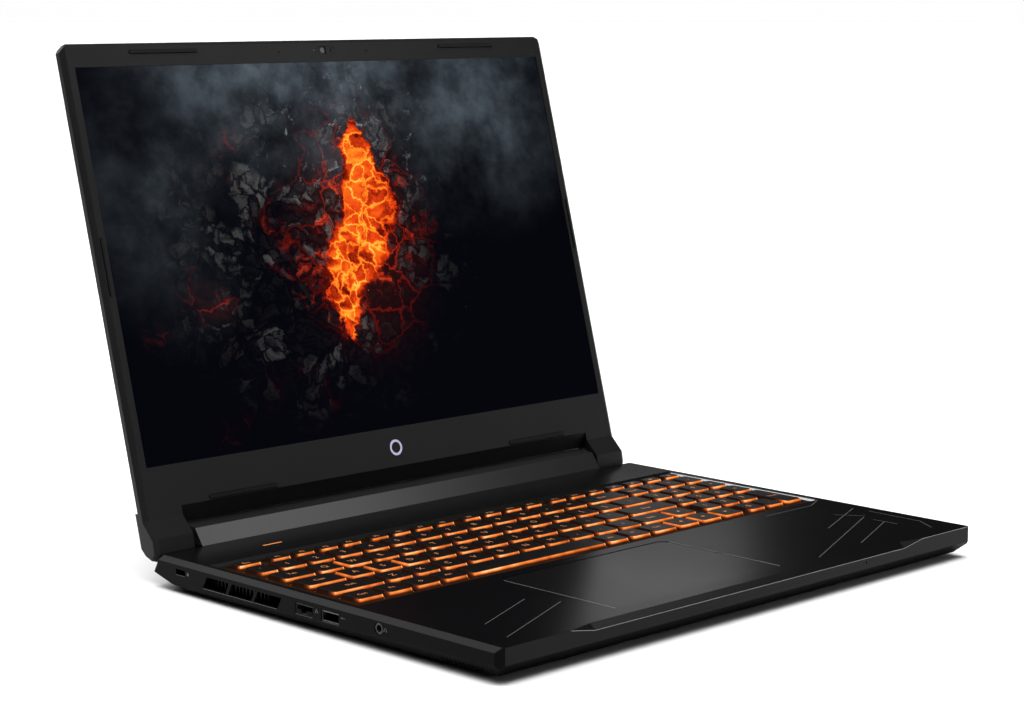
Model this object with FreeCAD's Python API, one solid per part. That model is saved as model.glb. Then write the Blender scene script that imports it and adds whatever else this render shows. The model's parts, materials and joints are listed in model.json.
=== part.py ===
"""Open laptop computer, built as the real one comes apart. Millimetres.

The design frame has x = 0 at the middle, y = 0 at the front edge of the base and z = 0 at
the palm rest. Pieces of the lid are drawn flat in a lid frame (v up the lid from the hinge
axis, w out of the screen) and then swung up. At export everything moves so that the origin
is at the bottom centre of the open laptop's box.
"""
import FreeCAD
import Part
import math
import os
from FreeCAD import Placement, Rotation, Vector

# ---- driving dimensions of the base ------------------------------------------------------
HALF_WIDTH = 180.6          # base, outside of the side walls
DECK_HALF = 178.0           # palm rest, inside its side chamfers
CHAMFER_DROP = 2.55         # height of the side chamfers
REAR_Y = 278.5              # rear wall between the hinge knuckles
BOTTOM_Z = -15.2            # underside of the bottom cover
FOOT_HEIGHT = 2.2
DECK_HEIGHT = FOOT_HEIGHT - BOTTOM_Z
WALL = 1.6                  # shell thickness of the base
FRONT_CORNER = 3.5          # bevel of the front corners
FRONT_SEAM_Z = -8.4         # seam between top case and bottom cover, at the front
REAR_SEAM_Y = 238.6
REAR_SEAM_Z = -13.0         # the same seam, towards the rear
TAIL_SEAM_Z = -9.4
CORNER_X = 152.5            # the rear corners outside this make room for the knuckles
CORNER_TOP_Y = 253.5
CORNER_LOW_Y = 258.6
HUMP_FRONT_Y = 254.6        # foot of the hinge cover's sloped face
HUMP_HALF = 152.0
NOTCH_HALF = 119.0          # finger notch in the front edge, full depth up to here

# ---- driving dimensions of the lid -------------------------------------------------------
HINGE_Y = 267.1
HINGE_Z = 4.0
LEAN = 15.09                # the open lid leans back by this many degrees from upright
LID_HALF = 179.4
LID_TOP = 267.1             # distance from the hinge axis to the lid's top edge
LID_FRONT = 2.24            # bezel face
LID_BACK = -5.06            # outer face of the back cover
LIP_FRONT = (7.4, -3.4)     # lower edge between the knuckles: foot of the recess, as (v, w)
LIP_BACK = (6.3, LID_BACK)  # and the same edge at the back
SEAM_W = 0.24               # seam between bezel and back cover
SCREEN_WIDTH = 344.7        # 16.0 inch panel, 16:10
SCREEN_HEIGHT = 215.4
SCREEN_BOTTOM = 38.65
KNUCKLE_X = 154.5
EDGE_RUN = 2.8              # chamfer round the bezel: inward
EDGE_DROP = 2.0             # and backward
CAMERA_V = 260.9

# ---- keyboard ----------------------------------------------------------------------------
KEY_TOP = 0.4
KEY_BOTTOM = -2.6
KEY_GAP = 2.2
KEY_TAPER = 1.2             # how far each wall of a cap leans in
KEY_PITCH = 18.8
PAD_PITCH = 16.1
SMALL_PITCH = 16.1          # function row
ROW_PITCH = 18.7
KEY_DEPTH = 16.5
TOP_KEY_DEPTH = 9.1
KEYS_LEFT = -168.8
KEYS_RIGHT = 106.2          # right end of the main block
ARROWS_LEFT = 63.9
PAD_LEFT = 107.3
BOTTOM_ROW_BACK = 126.3
TOP_ROW_BACK = 212.9
HOLE_CLEARANCE = 0.5
WELL_TOP = (-175.3, 175.3, 102.0, 218.0)
WELL_SLOPE = 2.3
FRAME_THICKNESS = 0.7
SHEET_TOP = -4.15
SHEET_THICKNESS = 0.25
PLATE_THICKNESS = 0.45

# ---- touchpad ----------------------------------------------------------------------------
TOUCHPAD = (-90.3, 32.0, 13.0, 94.0)
TOUCHPAD_GAP = 0.35
TOUCHPAD_CORNER = 4.0
TOUCHPAD_DROP = 0.25
TOUCHPAD_THICKNESS = 2.35

# ---- inside ------------------------------------------------------------------------------
BOARD_TOP = -9.9
BOARD_THICKNESS = 1.2
FLOOR_Z = BOTTOM_Z + WALL
POWER_Z = -5.6
FIN_PITCH = 2.9
FAN_CENTRE = (118.0, 207.5)
FAN_RADIUS = 33.0
HINGE_PIN_RADIUS = 2.0
RUNNING_CLEARANCE = 0.04

FAR = 900.0                 # longer than anything in the model


# ---- shape helpers -----------------------------------------------------------------------
def box(x0, x1, y0, y1, z0, z1):
    return Part.makeBox(x1 - x0, y1 - y0, z1 - z0, Vector(x0, y0, z0))


def outward(solid):
    """The same solid with its faces turned outward."""
    return solid if solid.Volume > 0 else solid.reversed()


def extruded(corners, direction):
    wire = Part.makePolygon(corners + [corners[0]])
    return outward(Part.Face(wire).extrude(direction))


def prism_x(points, x0, x1):
    """Prism along x from (y, z) points."""
    return extruded([Vector(x0, y, z) for y, z in points], Vector(x1 - x0, 0, 0))


def prism_z(points, z0, z1):
    """Prism along z from (x, y) points."""
    return extruded([Vector(x, y, z0) for x, y in points], Vector(0, 0, z1 - z0))


def cylinder(centre, direction, radius, length):
    return Part.makeCylinder(radius, length, Vector(*centre), Vector(*direction))


def rectangle(bounds, z):
    x0, x1, y0, y1 = bounds
    corners = [Vector(x0, y0, z), Vector(x1, y0, z), Vector(x1, y1, z), Vector(x0, y1, z)]
    return Part.makePolygon(corners + [corners[0]])


def lofted(first, second):
    """Straight-sided solid between two outlines with the same number of corners."""
    return outward(Part.makeLoft([first, second], True, True))


def tapered_block(low, low_z, high, high_z):
    """Block whose four sides slope between two rectangles."""
    return lofted(rectangle(low, low_z), rectangle(high, high_z))


def grown(bounds, amount):
    x0, x1, y0, y1 = bounds
    return (x0 - amount, x1 + amount, y0 - amount, y1 + amount)


def slot(x0, x1, y0, y1, z0, z1):
    """Flat bar along x with fully rounded ends."""
    radius = (y1 - y0) / 2
    middle = (y0 + y1) / 2
    bar = box(x0 + radius, x1 - radius, y0, y1, z0, z1)
    ends = [cylinder((x, middle, z0), (0, 0, 1), radius, z1 - z0) for x in (x0 + radius, x1 - radius)]
    return fused([bar] + ends)


def fused(shapes):
    return shapes[0].multiFuse(shapes[1:]).removeSplitter()


def group(shapes):
    """Separate solids that share one node."""
    return Part.makeCompound(shapes)


def mirrored(shape):
    return shape.mirror(Vector(0, 0, 0), Vector(1, 0, 0))


def on_both_sides(shapes):
    return shapes + [mirrored(shape) for shape in shapes]


def beyond(point, normal):
    """Block that fills the far side of a plane."""
    block = Part.makeBox(FAR, FAR, FAR / 10, Vector(-FAR / 2, -FAR / 2, 0))
    block.Placement = Placement(point, Rotation(Vector(0, 0, 1), normal))
    return block


def inset_plane(point, normal, inset):
    unit = Vector(normal).normalize()
    return beyond(Vector(point) - unit * inset, unit)


def inset_outline(points, distances):
    """Move each edge of an anticlockwise outline inward by its own distance."""
    count = len(points)
    lines = []
    for i in range(count):
        (x0, y0), (x1, y1) = points[i], points[(i + 1) % count]
        length = math.hypot(x1 - x0, y1 - y0)
        inward = (-(y1 - y0) / length, (x1 - x0) / length)
        start = (x0 + inward[0] * distances[i], y0 + inward[1] * distances[i])
        lines.append((start, ((x1 - x0) / length, (y1 - y0) / length)))
    corners = []
    for i in range(count):
        (ax, ay), (au, av) = lines[i - 1]
        (bx, by), (bu, bv) = lines[i]
        along = ((bx - ax) * bv - (by - ay) * bu) / (au * bv - av * bu)
        corners.append((ax + au * along, ay + av * along))
    return corners


# ---- base shell --------------------------------------------------------------------------
def base_envelope(inset):
    """Outer form of the base, or its inner form when inset by the wall thickness."""
    body = box(-HALF_WIDTH + inset, HALF_WIDTH - inset, inset, REAR_Y - inset, BOTTOM_Z + inset, -inset)
    chamfer_run = HALF_WIDTH - DECK_HALF
    seam_edge = Vector(0, REAR_SEAM_Y, REAR_SEAM_Z - FRONT_SEAM_Z)
    under_front = (7.5, BOTTOM_Z - FRONT_SEAM_Z)
    cuts = [inset_plane((0, 0, FRONT_SEAM_Z), (0, under_front[1], -under_front[0]), inset)]
    cuts.append(inset_plane((0, REAR_Y, -10.4), (0, 4.8, -14.5), inset))
    for side in (-1, 1):
        cuts.append(inset_plane((side * DECK_HALF, 0, 0), (side * CHAMFER_DROP, 0, chamfer_run), inset))
        cuts.append(inset_plane((side * (HALF_WIDTH - FRONT_CORNER), 0, 0), (side, -1, 0), inset))
        down_slope = Vector(-side * 6.0, 0, BOTTOM_Z - FRONT_SEAM_Z)
        flank = down_slope.cross(seam_edge) * side
        cuts.append(inset_plane((side * HALF_WIDTH, 0, FRONT_SEAM_Z), flank, inset))
        outside = box(CORNER_X - inset, FAR, 0, FAR, -FAR / 2, FAR / 2)
        if side < 0:
            outside = mirrored(outside)
        back_wall = (0, -TAIL_SEAM_Z, CORNER_LOW_Y - CORNER_TOP_Y)
        cuts.append(inset_plane((0, CORNER_TOP_Y, 0), back_wall, inset).common(outside))
        under_corner = (0, TAIL_SEAM_Z - BOTTOM_Z, -(CORNER_LOW_Y - 236.0))
        cuts.append(inset_plane((0, CORNER_LOW_Y, TAIL_SEAM_Z), under_corner, inset).common(outside))
    return body.cut(cuts)


def below_seam():
    """Everything that belongs to the bottom cover."""
    outline = [(-20, FRONT_SEAM_Z), (0, FRONT_SEAM_Z), (REAR_SEAM_Y, REAR_SEAM_Z)]
    outline += [(CORNER_LOW_Y, TAIL_SEAM_Z), (FAR, TAIL_SEAM_Z), (FAR, -60), (-20, -60)]
    return prism_x(outline, -FAR / 2, FAR / 2)


def port_cutouts():
    """Openings through the side walls of the top case, as (y0, y1, z0, z1) on each side."""
    left = []
    right = []
    through = (HALF_WIDTH - WALL - 2.0, HALF_WIDTH + 1.0)
    for y0, y1 in ((129.8, 143.0), (110.3, 123.4)):
        left.append(box(-through[1], -through[0], y0, y1, -10.1, -4.6))
    left.append(cylinder((-through[1], 81.6, -6.15), (1, 0, 0), 2.85, 3.0 + WALL))
    left.append(box(-through[1], -through[0], 231.9, 239.7, -7.5, -4.6))
    for y0, y1 in ((129.8, 142.9), (106.3, 119.4)):
        right.append(box(through[0], through[1], y0, y1, -10.1, -4.6))
    return left + right


def side_vents():
    """Slanted vent windows in the side walls, split by two slanted bars."""
    windows = []
    front, back = 153.6, 213.6
    lean = 3.4
    bar = 2.2
    width = (back - front - 2 * bar) / 3
    for i in range(3):
        y0 = front + i * (width + bar)
        outline = [(y0, -4.6), (y0 + width, -4.6), (y0 + width + lean, -10.6), (y0 + lean, -10.6)]
        windows.append(prism_x(outline, HALF_WIDTH - WALL - 2.0, HALF_WIDTH + 1))
    return on_both_sides(windows)


def deck_line(x0, y0, x1, y1):
    """Fine groove engraved in the palm rest."""
    length = math.hypot(x1 - x0, y1 - y0)
    angle = math.degrees(math.atan2(y1 - y0, x1 - x0))
    groove = box(0, length, -0.2, 0.2, -0.15, 0.5)
    groove.rotate(Vector(0, 0, 0), Vector(0, 0, 1), angle)
    groove.translate(Vector(x0, y0, 0))
    return groove


def finger_notch():
    """Sloped cut along the front edge, full depth in the middle and tapering out."""
    deep = prism_x([(-1.0, -3.47), (4.5, 0.77), (-1.0, 0.77)], -NOTCH_HALF, NOTCH_HALF)
    solids = [deep]
    for side in (-1, 1):
        back = Vector(side * NOTCH_HALF, 3.5, 0)
        low = Vector(side * NOTCH_HALF, 0, -2.7)
        tip = Vector(side * (NOTCH_HALF + 16.0), 0, 0)
        normal = (low - back).cross(tip - back) * side
        x0, x1 = sorted((side * NOTCH_HALF, side * (NOTCH_HALF + 16.0)))
        solids.append(beyond(back, normal).common(box(x0, x1, -1, 6, -5, 1)))
    return solids


def touchpad_outline(gap):
    x0, x1, y0, y1 = grown(TOUCHPAD, gap)
    bevel = TOUCHPAD_CORNER
    return [(x0, y0), (x1, y0), (x1, y1 - bevel), (x1 - bevel, y1), (x0 + bevel, y1), (x0, y1 - bevel)]


def make_top_case(shell):
    case = shell.cut(below_seam())
    tail = box(-CORNER_X, CORNER_X, HUMP_FRONT_Y, FAR, -60, 60)
    ledge = box(-HUMP_HALF + 2, HUMP_HALF - 2, HUMP_FRONT_Y - 1, HUMP_FRONT_Y + 3, -WALL, 0)
    case = fused([case.cut(tail), ledge])
    well_floor = grown(WELL_TOP, -WELL_SLOPE)
    cuts = [tapered_block(well_floor, -WALL, WELL_TOP, 0.0)]
    cuts.append(box(well_floor[0], well_floor[1], well_floor[2], well_floor[3], -WALL - 1, -WALL))
    cuts.append(box(WELL_TOP[0], WELL_TOP[1], WELL_TOP[2], WELL_TOP[3], 0.0, 1.0))
    cuts.append(prism_z(touchpad_outline(TOUCHPAD_GAP), -WALL - 1, 1))
    cuts += port_cutouts() + side_vents() + finger_notch()
    cuts.append(cylinder((86.0, -1, -5.0), (0, 1, 0), 0.6, 4))
    lines = ((-155.2, 36.0, -109.1, 56.5), (-163.9, 12.6, -100.0, 40.9), (118.9, 51.0, 169.6, 73.2),
             (60.8, 11.5, 155.0, 54.5), (103.4, 16.8, 153.8, 39.4), (148.1, 70.3, 158.4, 56.0),
             (170.1, 62.6, 169.2, 26.6), (169.2, 26.6, 160.6, 12.6), (153.9, 47.2, 154.5, 30.8),
             (172.5, 101.0, 158.0, 94.2), (158.0, 94.2, 118.9, 94.6))
    cuts += [deck_line(*line) for line in lines]
    cuts.append(slot(-128.0, -115.0, 233.2, 234.8, -WALL - 1, 1))
    return case.cut(cuts)


def make_status_light():
    """Light pipe of the indicator bar behind the keyboard."""
    return slot(-127.9, -115.1, 233.3, 234.7, -WALL, -0.05)


def screw_places():
    row_front = [(x, 14.0) for x in (-150.0, -60.0, 60.0, 150.0)]
    row_middle = [(x, 100.0) for x in (-168.0, -72.0, 72.0, 168.0)]
    row_back = [(-168.0, 226.0), (-75.2, 246.0), (75.2, 246.0), (168.0, 226.0)]
    return row_front + row_middle + row_back


def make_bottom_cover(shell):
    cover = shell.common(below_seam())
    cuts = []
    for side in (-1, 1):
        for row in range(3):
            for column in range(9):
                x = side * (82.0 + column * 8.6)
                y = 166.0 + row * 26.0
                cuts.append(box(x - 1.3, x + 1.3, y, y + 21.0, BOTTOM_Z - 1, FLOOR_Z + 1))
        for tooth in range(10):
            y = 14.6 + tooth * 2.9
            x0, x1 = sorted((side * 168.0, side * 182.0))
            cuts.append(box(x0, x1, y, y + 1.3, BOTTOM_Z - 1, -12.2))
    for x, y in screw_places():
        cuts.append(cylinder((x, y, BOTTOM_Z - 1), (0, 0, 1), 2.6, 2.0))
        cuts.append(cylinder((x, y, BOTTOM_Z), (0, 0, 1), 1.3, 4.0))
    bosses = [cylinder((x, y, FLOOR_Z - 0.5), (0, 0, 1), 2.4, 2.4) for x, y in screw_places()]
    return fused([cover] + bosses).cut(cuts)


def make_bottom_screws():
    screws = []
    for x, y in screw_places():
        head = cylinder((x, y, BOTTOM_Z + 0.1), (0, 0, 1), 2.4, 0.8)
        shank = cylinder((x, y, BOTTOM_Z + 0.5), (0, 0, 1), 1.2, 4.4)
        socket = cylinder((x, y, BOTTOM_Z), (0, 0, 1), 0.9, 0.5)
        screws.append(fused([head, shank]).cut(socket))
    return group(screws)


def make_rubber_feet():
    z0 = BOTTOM_Z - FOOT_HEIGHT
    front = slot(62.0, 150.0, 17.5, 24.5, z0, BOTTOM_Z)
    rear = slot(-146.0, 146.0, 224.0, 233.0, z0, BOTTOM_Z)
    return group(on_both_sides([front]) + [rear])


# ---- rear of the base --------------------------------------------------------------------
def make_rear_frame():
    """U-shaped exhaust frame with the rear grilles and one bay for all the rear sockets."""
    outer = box(-CORNER_X, CORNER_X, HUMP_FRONT_Y + 0.1, REAR_Y, TAIL_SEAM_Z, 0.0)
    inner = box(-CORNER_X + WALL, CORNER_X - WALL, 0, REAR_Y - WALL, -60, 60)
    frame = outer.cut(inner)
    slots = []
    for side in (-1, 1):
        for i in range(13):
            x = side * (84.0 + i * 4.9)
            slots.append(box(x - 1.6, x + 1.6, REAR_Y - 3, REAR_Y + 1, -8.4, -1.8))
    socket_bay = box(-20.0, 60.0, REAR_Y - 4, REAR_Y + 1, TAIL_SEAM_Z - 1, -1.2)
    return frame.cut(slots + [socket_bay]).common(base_envelope(0.0))


HUMP_OUTLINE = [(HUMP_FRONT_Y, 0.0), (REAR_Y, 0.0), (REAR_Y, 0.8), (273.9, 4.6), (271.5, 9.8), (261.0, 8.8)]
HUMP_WALLS = [0.0, 1.4, 1.4, 1.4, 1.4, 1.4]


def make_hinge_cover():
    """Raised bar between the knuckles; it hides both hinges."""
    outer = prism_x(HUMP_OUTLINE, -HUMP_HALF, HUMP_HALF)
    hollow = prism_x(inset_outline(HUMP_OUTLINE, HUMP_WALLS), -HUMP_HALF + 1.5, HUMP_HALF - 1.5)
    bore = cylinder((-FAR / 2, HINGE_Y, HINGE_Z), (1, 0, 0), HINGE_PIN_RADIUS + 0.3, FAR)
    return outer.cut([hollow, bore])


def make_hinge_mount():
    """Steel foot under the deck with the friction barrel that grips the pin."""
    barrel = cylinder((137.0, HINGE_Y, HINGE_Z), (1, 0, 0), 2.9, 12.0)
    foot = box(133.0, 149.0, 236.0, 268.4, -3.2, -1.9)
    web = box(139.0, 149.0, HINGE_Y - 1.3, HINGE_Y + 1.3, -3.0, HINGE_Z)
    bore = cylinder((120.0, HINGE_Y, HINGE_Z), (1, 0, 0), HINGE_PIN_RADIUS + RUNNING_CLEARANCE, 40.0)
    return fused([barrel, foot, web]).cut(bore)


# ---- keyboard ----------------------------------------------------------------------------
def key_row(start, widths, back, depth):
    """Bounds of the caps that fill cells of the given widths."""
    caps = []
    x = start
    for width in widths:
        caps.append((x + KEY_GAP / 2, x + width - KEY_GAP / 2, back - depth, back))
        x += width
    return caps


def main_row(widths, right, back):
    """A full row of the main block; its last cap reaches the given right end."""
    last = right - KEYS_LEFT - sum(widths)
    return key_row(KEYS_LEFT, widths + [last], back, KEY_DEPTH)


def keyboard_layout():
    """Cap bounds for every node of the keyboard."""
    backs = [BOTTOM_ROW_BACK + i * ROW_PITCH for i in range(5)]
    pitch = KEY_PITCH
    top = []
    for start in (-146.6, -78.9, -10.4):
        top += key_row(start, [SMALL_PITCH] * 4, TOP_ROW_BACK, TOP_KEY_DEPTH)
    top += key_row(57.8, [SMALL_PITCH] * 3, TOP_ROW_BACK, TOP_KEY_DEPTH)
    pad_top = key_row(PAD_LEFT, [PAD_PITCH] * 4, TOP_ROW_BACK, TOP_KEY_DEPTH)
    number = main_row([14.6] + [pitch] * 12, KEYS_RIGHT, backs[4])
    upper = main_row([23.6] + [pitch] * 12, KEYS_RIGHT, backs[3])
    home = main_row([27.9] + [pitch] * 11, KEYS_RIGHT, backs[2])
    lower = main_row([36.8] + [pitch] * 10, ARROWS_LEFT + pitch, backs[1])
    bottom = main_row([19.5] + [pitch] * 3 + [100.6, 17.6, 17.6], ARROWS_LEFT, backs[0])
    arrows = key_row(ARROWS_LEFT, [pitch] * 3, backs[0], KEY_DEPTH)
    arrow_up = key_row(ARROWS_LEFT + pitch, [pitch], backs[1], KEY_DEPTH)[0]
    pad = []
    for back in (backs[4], backs[3], backs[2]):
        pad += key_row(PAD_LEFT, [PAD_PITCH] * 4, back, KEY_DEPTH)
    pad += key_row(PAD_LEFT, [PAD_PITCH] * 3, backs[1], KEY_DEPTH)
    pad += key_row(PAD_LEFT + PAD_PITCH, [PAD_PITCH] * 2, backs[0], KEY_DEPTH)
    tall = key_row(PAD_LEFT + 3 * PAD_PITCH, [PAD_PITCH], backs[1], KEY_DEPTH + ROW_PITCH)
    return {
        "escape_key": key_row(KEYS_LEFT, [pitch], TOP_ROW_BACK, TOP_KEY_DEPTH),
        "function_row_keys": top + pad_top[:3],
        "power_key": pad_top[3:],
        "number_row_keys": number,
        "upper_letter_keys": upper,
        "home_letter_keys": home[:-1],
        "enter_key": home[-1:],
        "left_shift_key": lower[:1],
        "lower_letter_keys": lower[1:-1],
        "right_shift_key": lower[-1:],
        "bottom_row_keys": bottom[:4] + bottom[5:],
        "space_bar": [bottom[4]],
        "arrow_left_key": arrows[:1],
        "arrow_down_key": arrows[1:2],
        "arrow_right_key": arrows[2:],
        "arrow_up_key": [arrow_up],
        "number_pad_keys": pad,
        "number_pad_enter_key": tall,
    }


def make_keycap(bounds):
    return tapered_block(bounds, KEY_BOTTOM, grown(bounds, -KEY_TAPER), KEY_TOP)


def make_key_frame(layout):
    """Thin web with one window for each cap."""
    outline = grown(WELL_TOP, 1.0)
    web = box(outline[0] + 2, outline[1] - 2, outline[2], outline[3], -WALL - FRAME_THICKNESS, -WALL)
    windows = []
    for caps in layout.values():
        for cap in caps:
            x0, x1, y0, y1 = grown(cap, HOLE_CLEARANCE)
            windows.append(box(x0, x1, y0, y1, -WALL - 3, 0))
    return web.cut(windows)


def make_backlight_sheet():
    x0, x1, y0, y1 = grown(WELL_TOP, -2.0)
    return box(x0, x1, y0, y1, SHEET_TOP - SHEET_THICKNESS, SHEET_TOP)


def make_keyboard_plate():
    x0, x1, y0, y1 = grown(WELL_TOP, -1.5)
    top = SHEET_TOP - SHEET_THICKNESS
    return box(x0, x1, y0, y1, top - PLATE_THICKNESS, top)


def make_touchpad():
    return prism_z(touchpad_outline(0.0), -TOUCHPAD_THICKNESS, -TOUCHPAD_DROP)


# ---- inside the base ---------------------------------------------------------------------
def make_mainboard():
    wide = box(-168.0, 168.0, 98.0, 147.0, BOARD_TOP - BOARD_THICKNESS, BOARD_TOP)
    tall = box(-72.0, 72.0, 98.0, 250.0, BOARD_TOP - BOARD_THICKNESS, BOARD_TOP)
    arm = box(-176.0, -150.0, 74.0, 147.0, BOARD_TOP - BOARD_THICKNESS, BOARD_TOP)
    notches = [cylinder((x, y, -20), (0, 0, 1), 3.0, 20) for x, y in screw_places()]
    sockets = [box(-40.0, 34.0, y, y + 5.0, BOARD_TOP - 0.1, BOARD_TOP + 1.0) for y in (118.0, 150.0)]
    return fused([wide, tall, arm] + sockets).cut(notches)


def make_chips():
    processor = box(-42.0, -14.0, 192.0, 220.0, BOARD_TOP, BOARD_TOP + 1.3)
    graphics = box(16.0, 46.0, 188.0, 218.0, BOARD_TOP, BOARD_TOP + 1.3)
    return group([processor, graphics])


def make_heat_pipes():
    """Two cold plates joined by flattened pipes that cross to the fins on both sides."""
    low = BOARD_TOP + 1.3
    plates = [box(-46.0, -10.0, 188.0, 224.0, low, low + 0.6), box(12.0, 50.0, 184.0, 222.0, low, low + 0.6)]
    legs = [box(x, x + 8.0, 190.0, 262.0, low + 0.6, low + 2.6) for x in (-36.0, -24.0, 20.0, 33.0)]
    cross = box(-146.0, 146.0, 256.5, 264.5, low + 0.6, low + 2.6)
    return fused(plates + legs + [cross])


def make_cooling_fins():
    """Fin stacks behind the rear grilles and the side vents."""
    floor = FLOOR_Z + 1.0
    top = BOARD_TOP + 1.8
    stacks = []
    base = box(82.0, 146.0, 254.5, 274.0, floor, floor + 0.5)
    places = [82.0 + i * FIN_PITCH for i in range(22)]
    fins = [box(x, x + 0.6, 254.5, 274.0, floor + 0.4, top) for x in places]
    stacks.append(fused([base] + fins))
    side_base = box(163.5, 175.5, 170.0, 216.0, floor, floor + 0.5)
    side_places = [170.0 + i * FIN_PITCH for i in range(16)]
    side_fins = [box(163.5, 175.5, y, y + 0.6, floor + 0.4, -5.4) for y in side_places]
    stacks.append(fused([side_base] + side_fins))
    room = base_envelope(WALL + 0.2)
    return group(on_both_sides([stack.common(room) for stack in stacks]))


def make_fan_housing():
    """Scroll case, open below, at the side and at the rear."""
    x, y = FAN_CENTRE
    case = box(x - 40.0, x + 42.0, y - 40.0, y + 42.0, FLOOR_Z + 0.4, -5.4)
    chamber = cylinder((x, y, FLOOR_Z), (0, 0, 1), FAN_RADIUS + 3.0, 7.2)
    rear_duct = box(x - 33.0, x + 27.0, y, y + 45.0, FLOOR_Z + 1.4, -6.4)
    side_duct = box(x, x + 45.0, y - 34.0, y + 6.0, FLOOR_Z + 1.4, -6.4)
    eye = cylinder((x, y, -8.0), (0, 0, 1), 20.0, 6.0)
    hub_post = cylinder((x, y, FLOOR_Z + 0.4), (0, 0, 1), 2.0, 5.4)
    spokes = [box(x - 38.0, x + 38.0, y - 1.5, y + 1.5, FLOOR_Z + 0.4, FLOOR_Z + 1.2)]
    housing = fused([case.cut([chamber, rear_duct, side_duct, eye]), hub_post] + spokes)
    return housing.common(base_envelope(WALL + 0.2))


def make_fan_rotor():
    """Hub with thin curved-back blades, turning on the post of its housing."""
    x, y = FAN_CENTRE
    low = FLOOR_Z + 1.7
    high = -6.9
    hub = cylinder((x, y, low), (0, 0, 1), 12.0, high - low)
    bore = cylinder((x, y, low - 1), (0, 0, 1), 2.0 + RUNNING_CLEARANCE, high - low + 0.4)
    blades = []
    count = 17
    for i in range(count):
        blade = box(11.0, FAN_RADIUS, -0.4, 0.4, low + 0.3, high)
        blade.rotate(Vector(11.0, 0, 0), Vector(0, 0, 1), 28.0)
        blade.rotate(Vector(0, 0, 0), Vector(0, 0, 1), i * 360.0 / count)
        blade.translate(Vector(x, y, 0))
        blades.append(blade)
    return fused([hub] + blades).cut(bore)


def make_battery():
    cells = [box(x, x + 56.0, 26.0, 90.0, FLOOR_Z + 0.3, -6.6) for x in (-118.0, -59.0, 0.0, 59.0)]
    tray = box(-119.0, 116.0, 22.0, 91.0, FLOOR_Z + 0.1, FLOOR_Z + 0.6)
    lead = box(-6.0, 6.0, 90.0, 97.0, FLOOR_Z + 0.1, FLOOR_Z + 2.0)
    return fused([tray, lead] + cells)


def make_memory():
    low = BOARD_TOP + 1.0
    return group([box(-38.0, 32.0, y, y + 26.0, low, low + 1.2) for y in (118.0, 150.0)])


def make_drive():
    return box(84.0, 164.0, 104.0, 126.0, BOARD_TOP, BOARD_TOP + 2.2)


def make_wireless_card():
    return box(-74.0, -50.0, 104.0, 126.0, BOARD_TOP, BOARD_TOP + 1.6)


def make_speaker():
    """Sealed box beside the battery with its cone facing the slits in the cover."""
    case = box(126.0, 169.0, 24.0, 64.0, FLOOR_Z + 0.2, -6.8)
    cone = slot(133.0, 161.0, 30.0, 46.0, -7.6, -6.0)
    return case.cut(cone)


# ---- sockets -----------------------------------------------------------------------------
def usb_a_socket(y0):
    """Sheet-metal socket in the left wall with its contact tongue set back."""
    x0 = -HALF_WIDTH + 0.6
    shell = box(x0, x0 + 14.0, y0, y0 + 13.1, -9.9, -5.0)
    mouth = box(x0 - 1, x0 + 12.5, y0 + 0.35, y0 + 12.75, -9.6, -5.3)
    tongue = box(x0 + 5.0, x0 + 13.0, y0 + 1.2, y0 + 11.9, -7.2, -5.7)
    return fused([shell.cut(mouth), tongue])


def make_usb_a_sockets():
    left = usb_a_socket(110.3)
    right = [mirrored(usb_a_socket(y)) for y in (129.8, 106.3)]
    return group([left] + right)


def make_network_socket():
    x0 = -HALF_WIDTH + 0.6
    case = box(x0, x0 + 15.0, 129.8, 143.0, -9.9, -4.9)
    mouth = box(x0 - 1, x0 + 12.0, 130.5, 142.3, -9.5, -5.3)
    places = [132.0 + i * 1.25 for i in range(8)]
    contacts = [box(x0 + 8.0, x0 + 12.5, y, y + 0.5, -5.6, -5.0) for y in places]
    return fused([case.cut(mouth)] + contacts)


def make_audio_jack():
    x0 = -HALF_WIDTH + 0.4
    barrel = cylinder((x0, 81.6, -6.15), (1, 0, 0), 2.75, 4.0)
    case = box(x0 + 2.4, x0 + 15.0, 78.4, 84.8, -9.9, -3.2)
    bore = cylinder((x0 - 1, 81.6, -6.15), (1, 0, 0), 1.8, 14.5)
    return fused([barrel, case]).cut(bore)


def make_video_socket():
    y1 = REAR_Y - 0.6
    shell = box(12.5, 27.5, y1 - 11.0, y1, -9.0, -3.8)
    mouth = box(12.9, 27.1, y1 - 9.5, y1 + 1, -8.6, -4.2)
    tongue = box(14.5, 25.5, y1 - 10.0, y1 - 4.6, -6.0, -5.2)
    return fused([shell.cut(mouth), tongue])


def make_usb_c_socket():
    y1 = REAR_Y - 0.6
    middle = -6.4
    outer = capsule_y(-16.7, -7.3, y1 - 8.0, y1, middle, 1.7)
    mouth = capsule_y(-16.4, -7.6, y1 - 7.0, y1 + 1, middle, 1.4)
    tongue = box(-15.0, -9.0, y1 - 7.5, y1 - 1.0, middle - 0.3, middle + 0.3)
    return fused([outer.cut(mouth), tongue])


def capsule_y(x0, x1, y0, y1, middle, radius):
    """Tube-like bar along y whose section is a flat capsule."""
    bar = box(x0 + radius, x1 - radius, y0, y1, middle - radius, middle + radius)
    ends = [cylinder((x, y0, middle), (0, 1, 0), radius, y1 - y0) for x in (x0 + radius, x1 - radius)]
    return fused([bar] + ends)


def make_power_inlet():
    y1 = REAR_Y - 0.6
    case = box(47.6, 56.4, y1 - 12.0, y1 - 2.0, -9.3, -1.8)
    ring = cylinder((52.0, y1 - 3.0, POWER_Z), (0, 1, 0), 3.5, 3.0)
    bore = cylinder((52.0, y1 - 11.0, POWER_Z), (0, 1, 0), 3.2, 12.0)
    pin = cylinder((52.0, y1 - 11.5, POWER_Z), (0, 1, 0), 0.6, 6.0)
    return fused([fused([case, ring]).cut(bore), pin])


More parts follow.
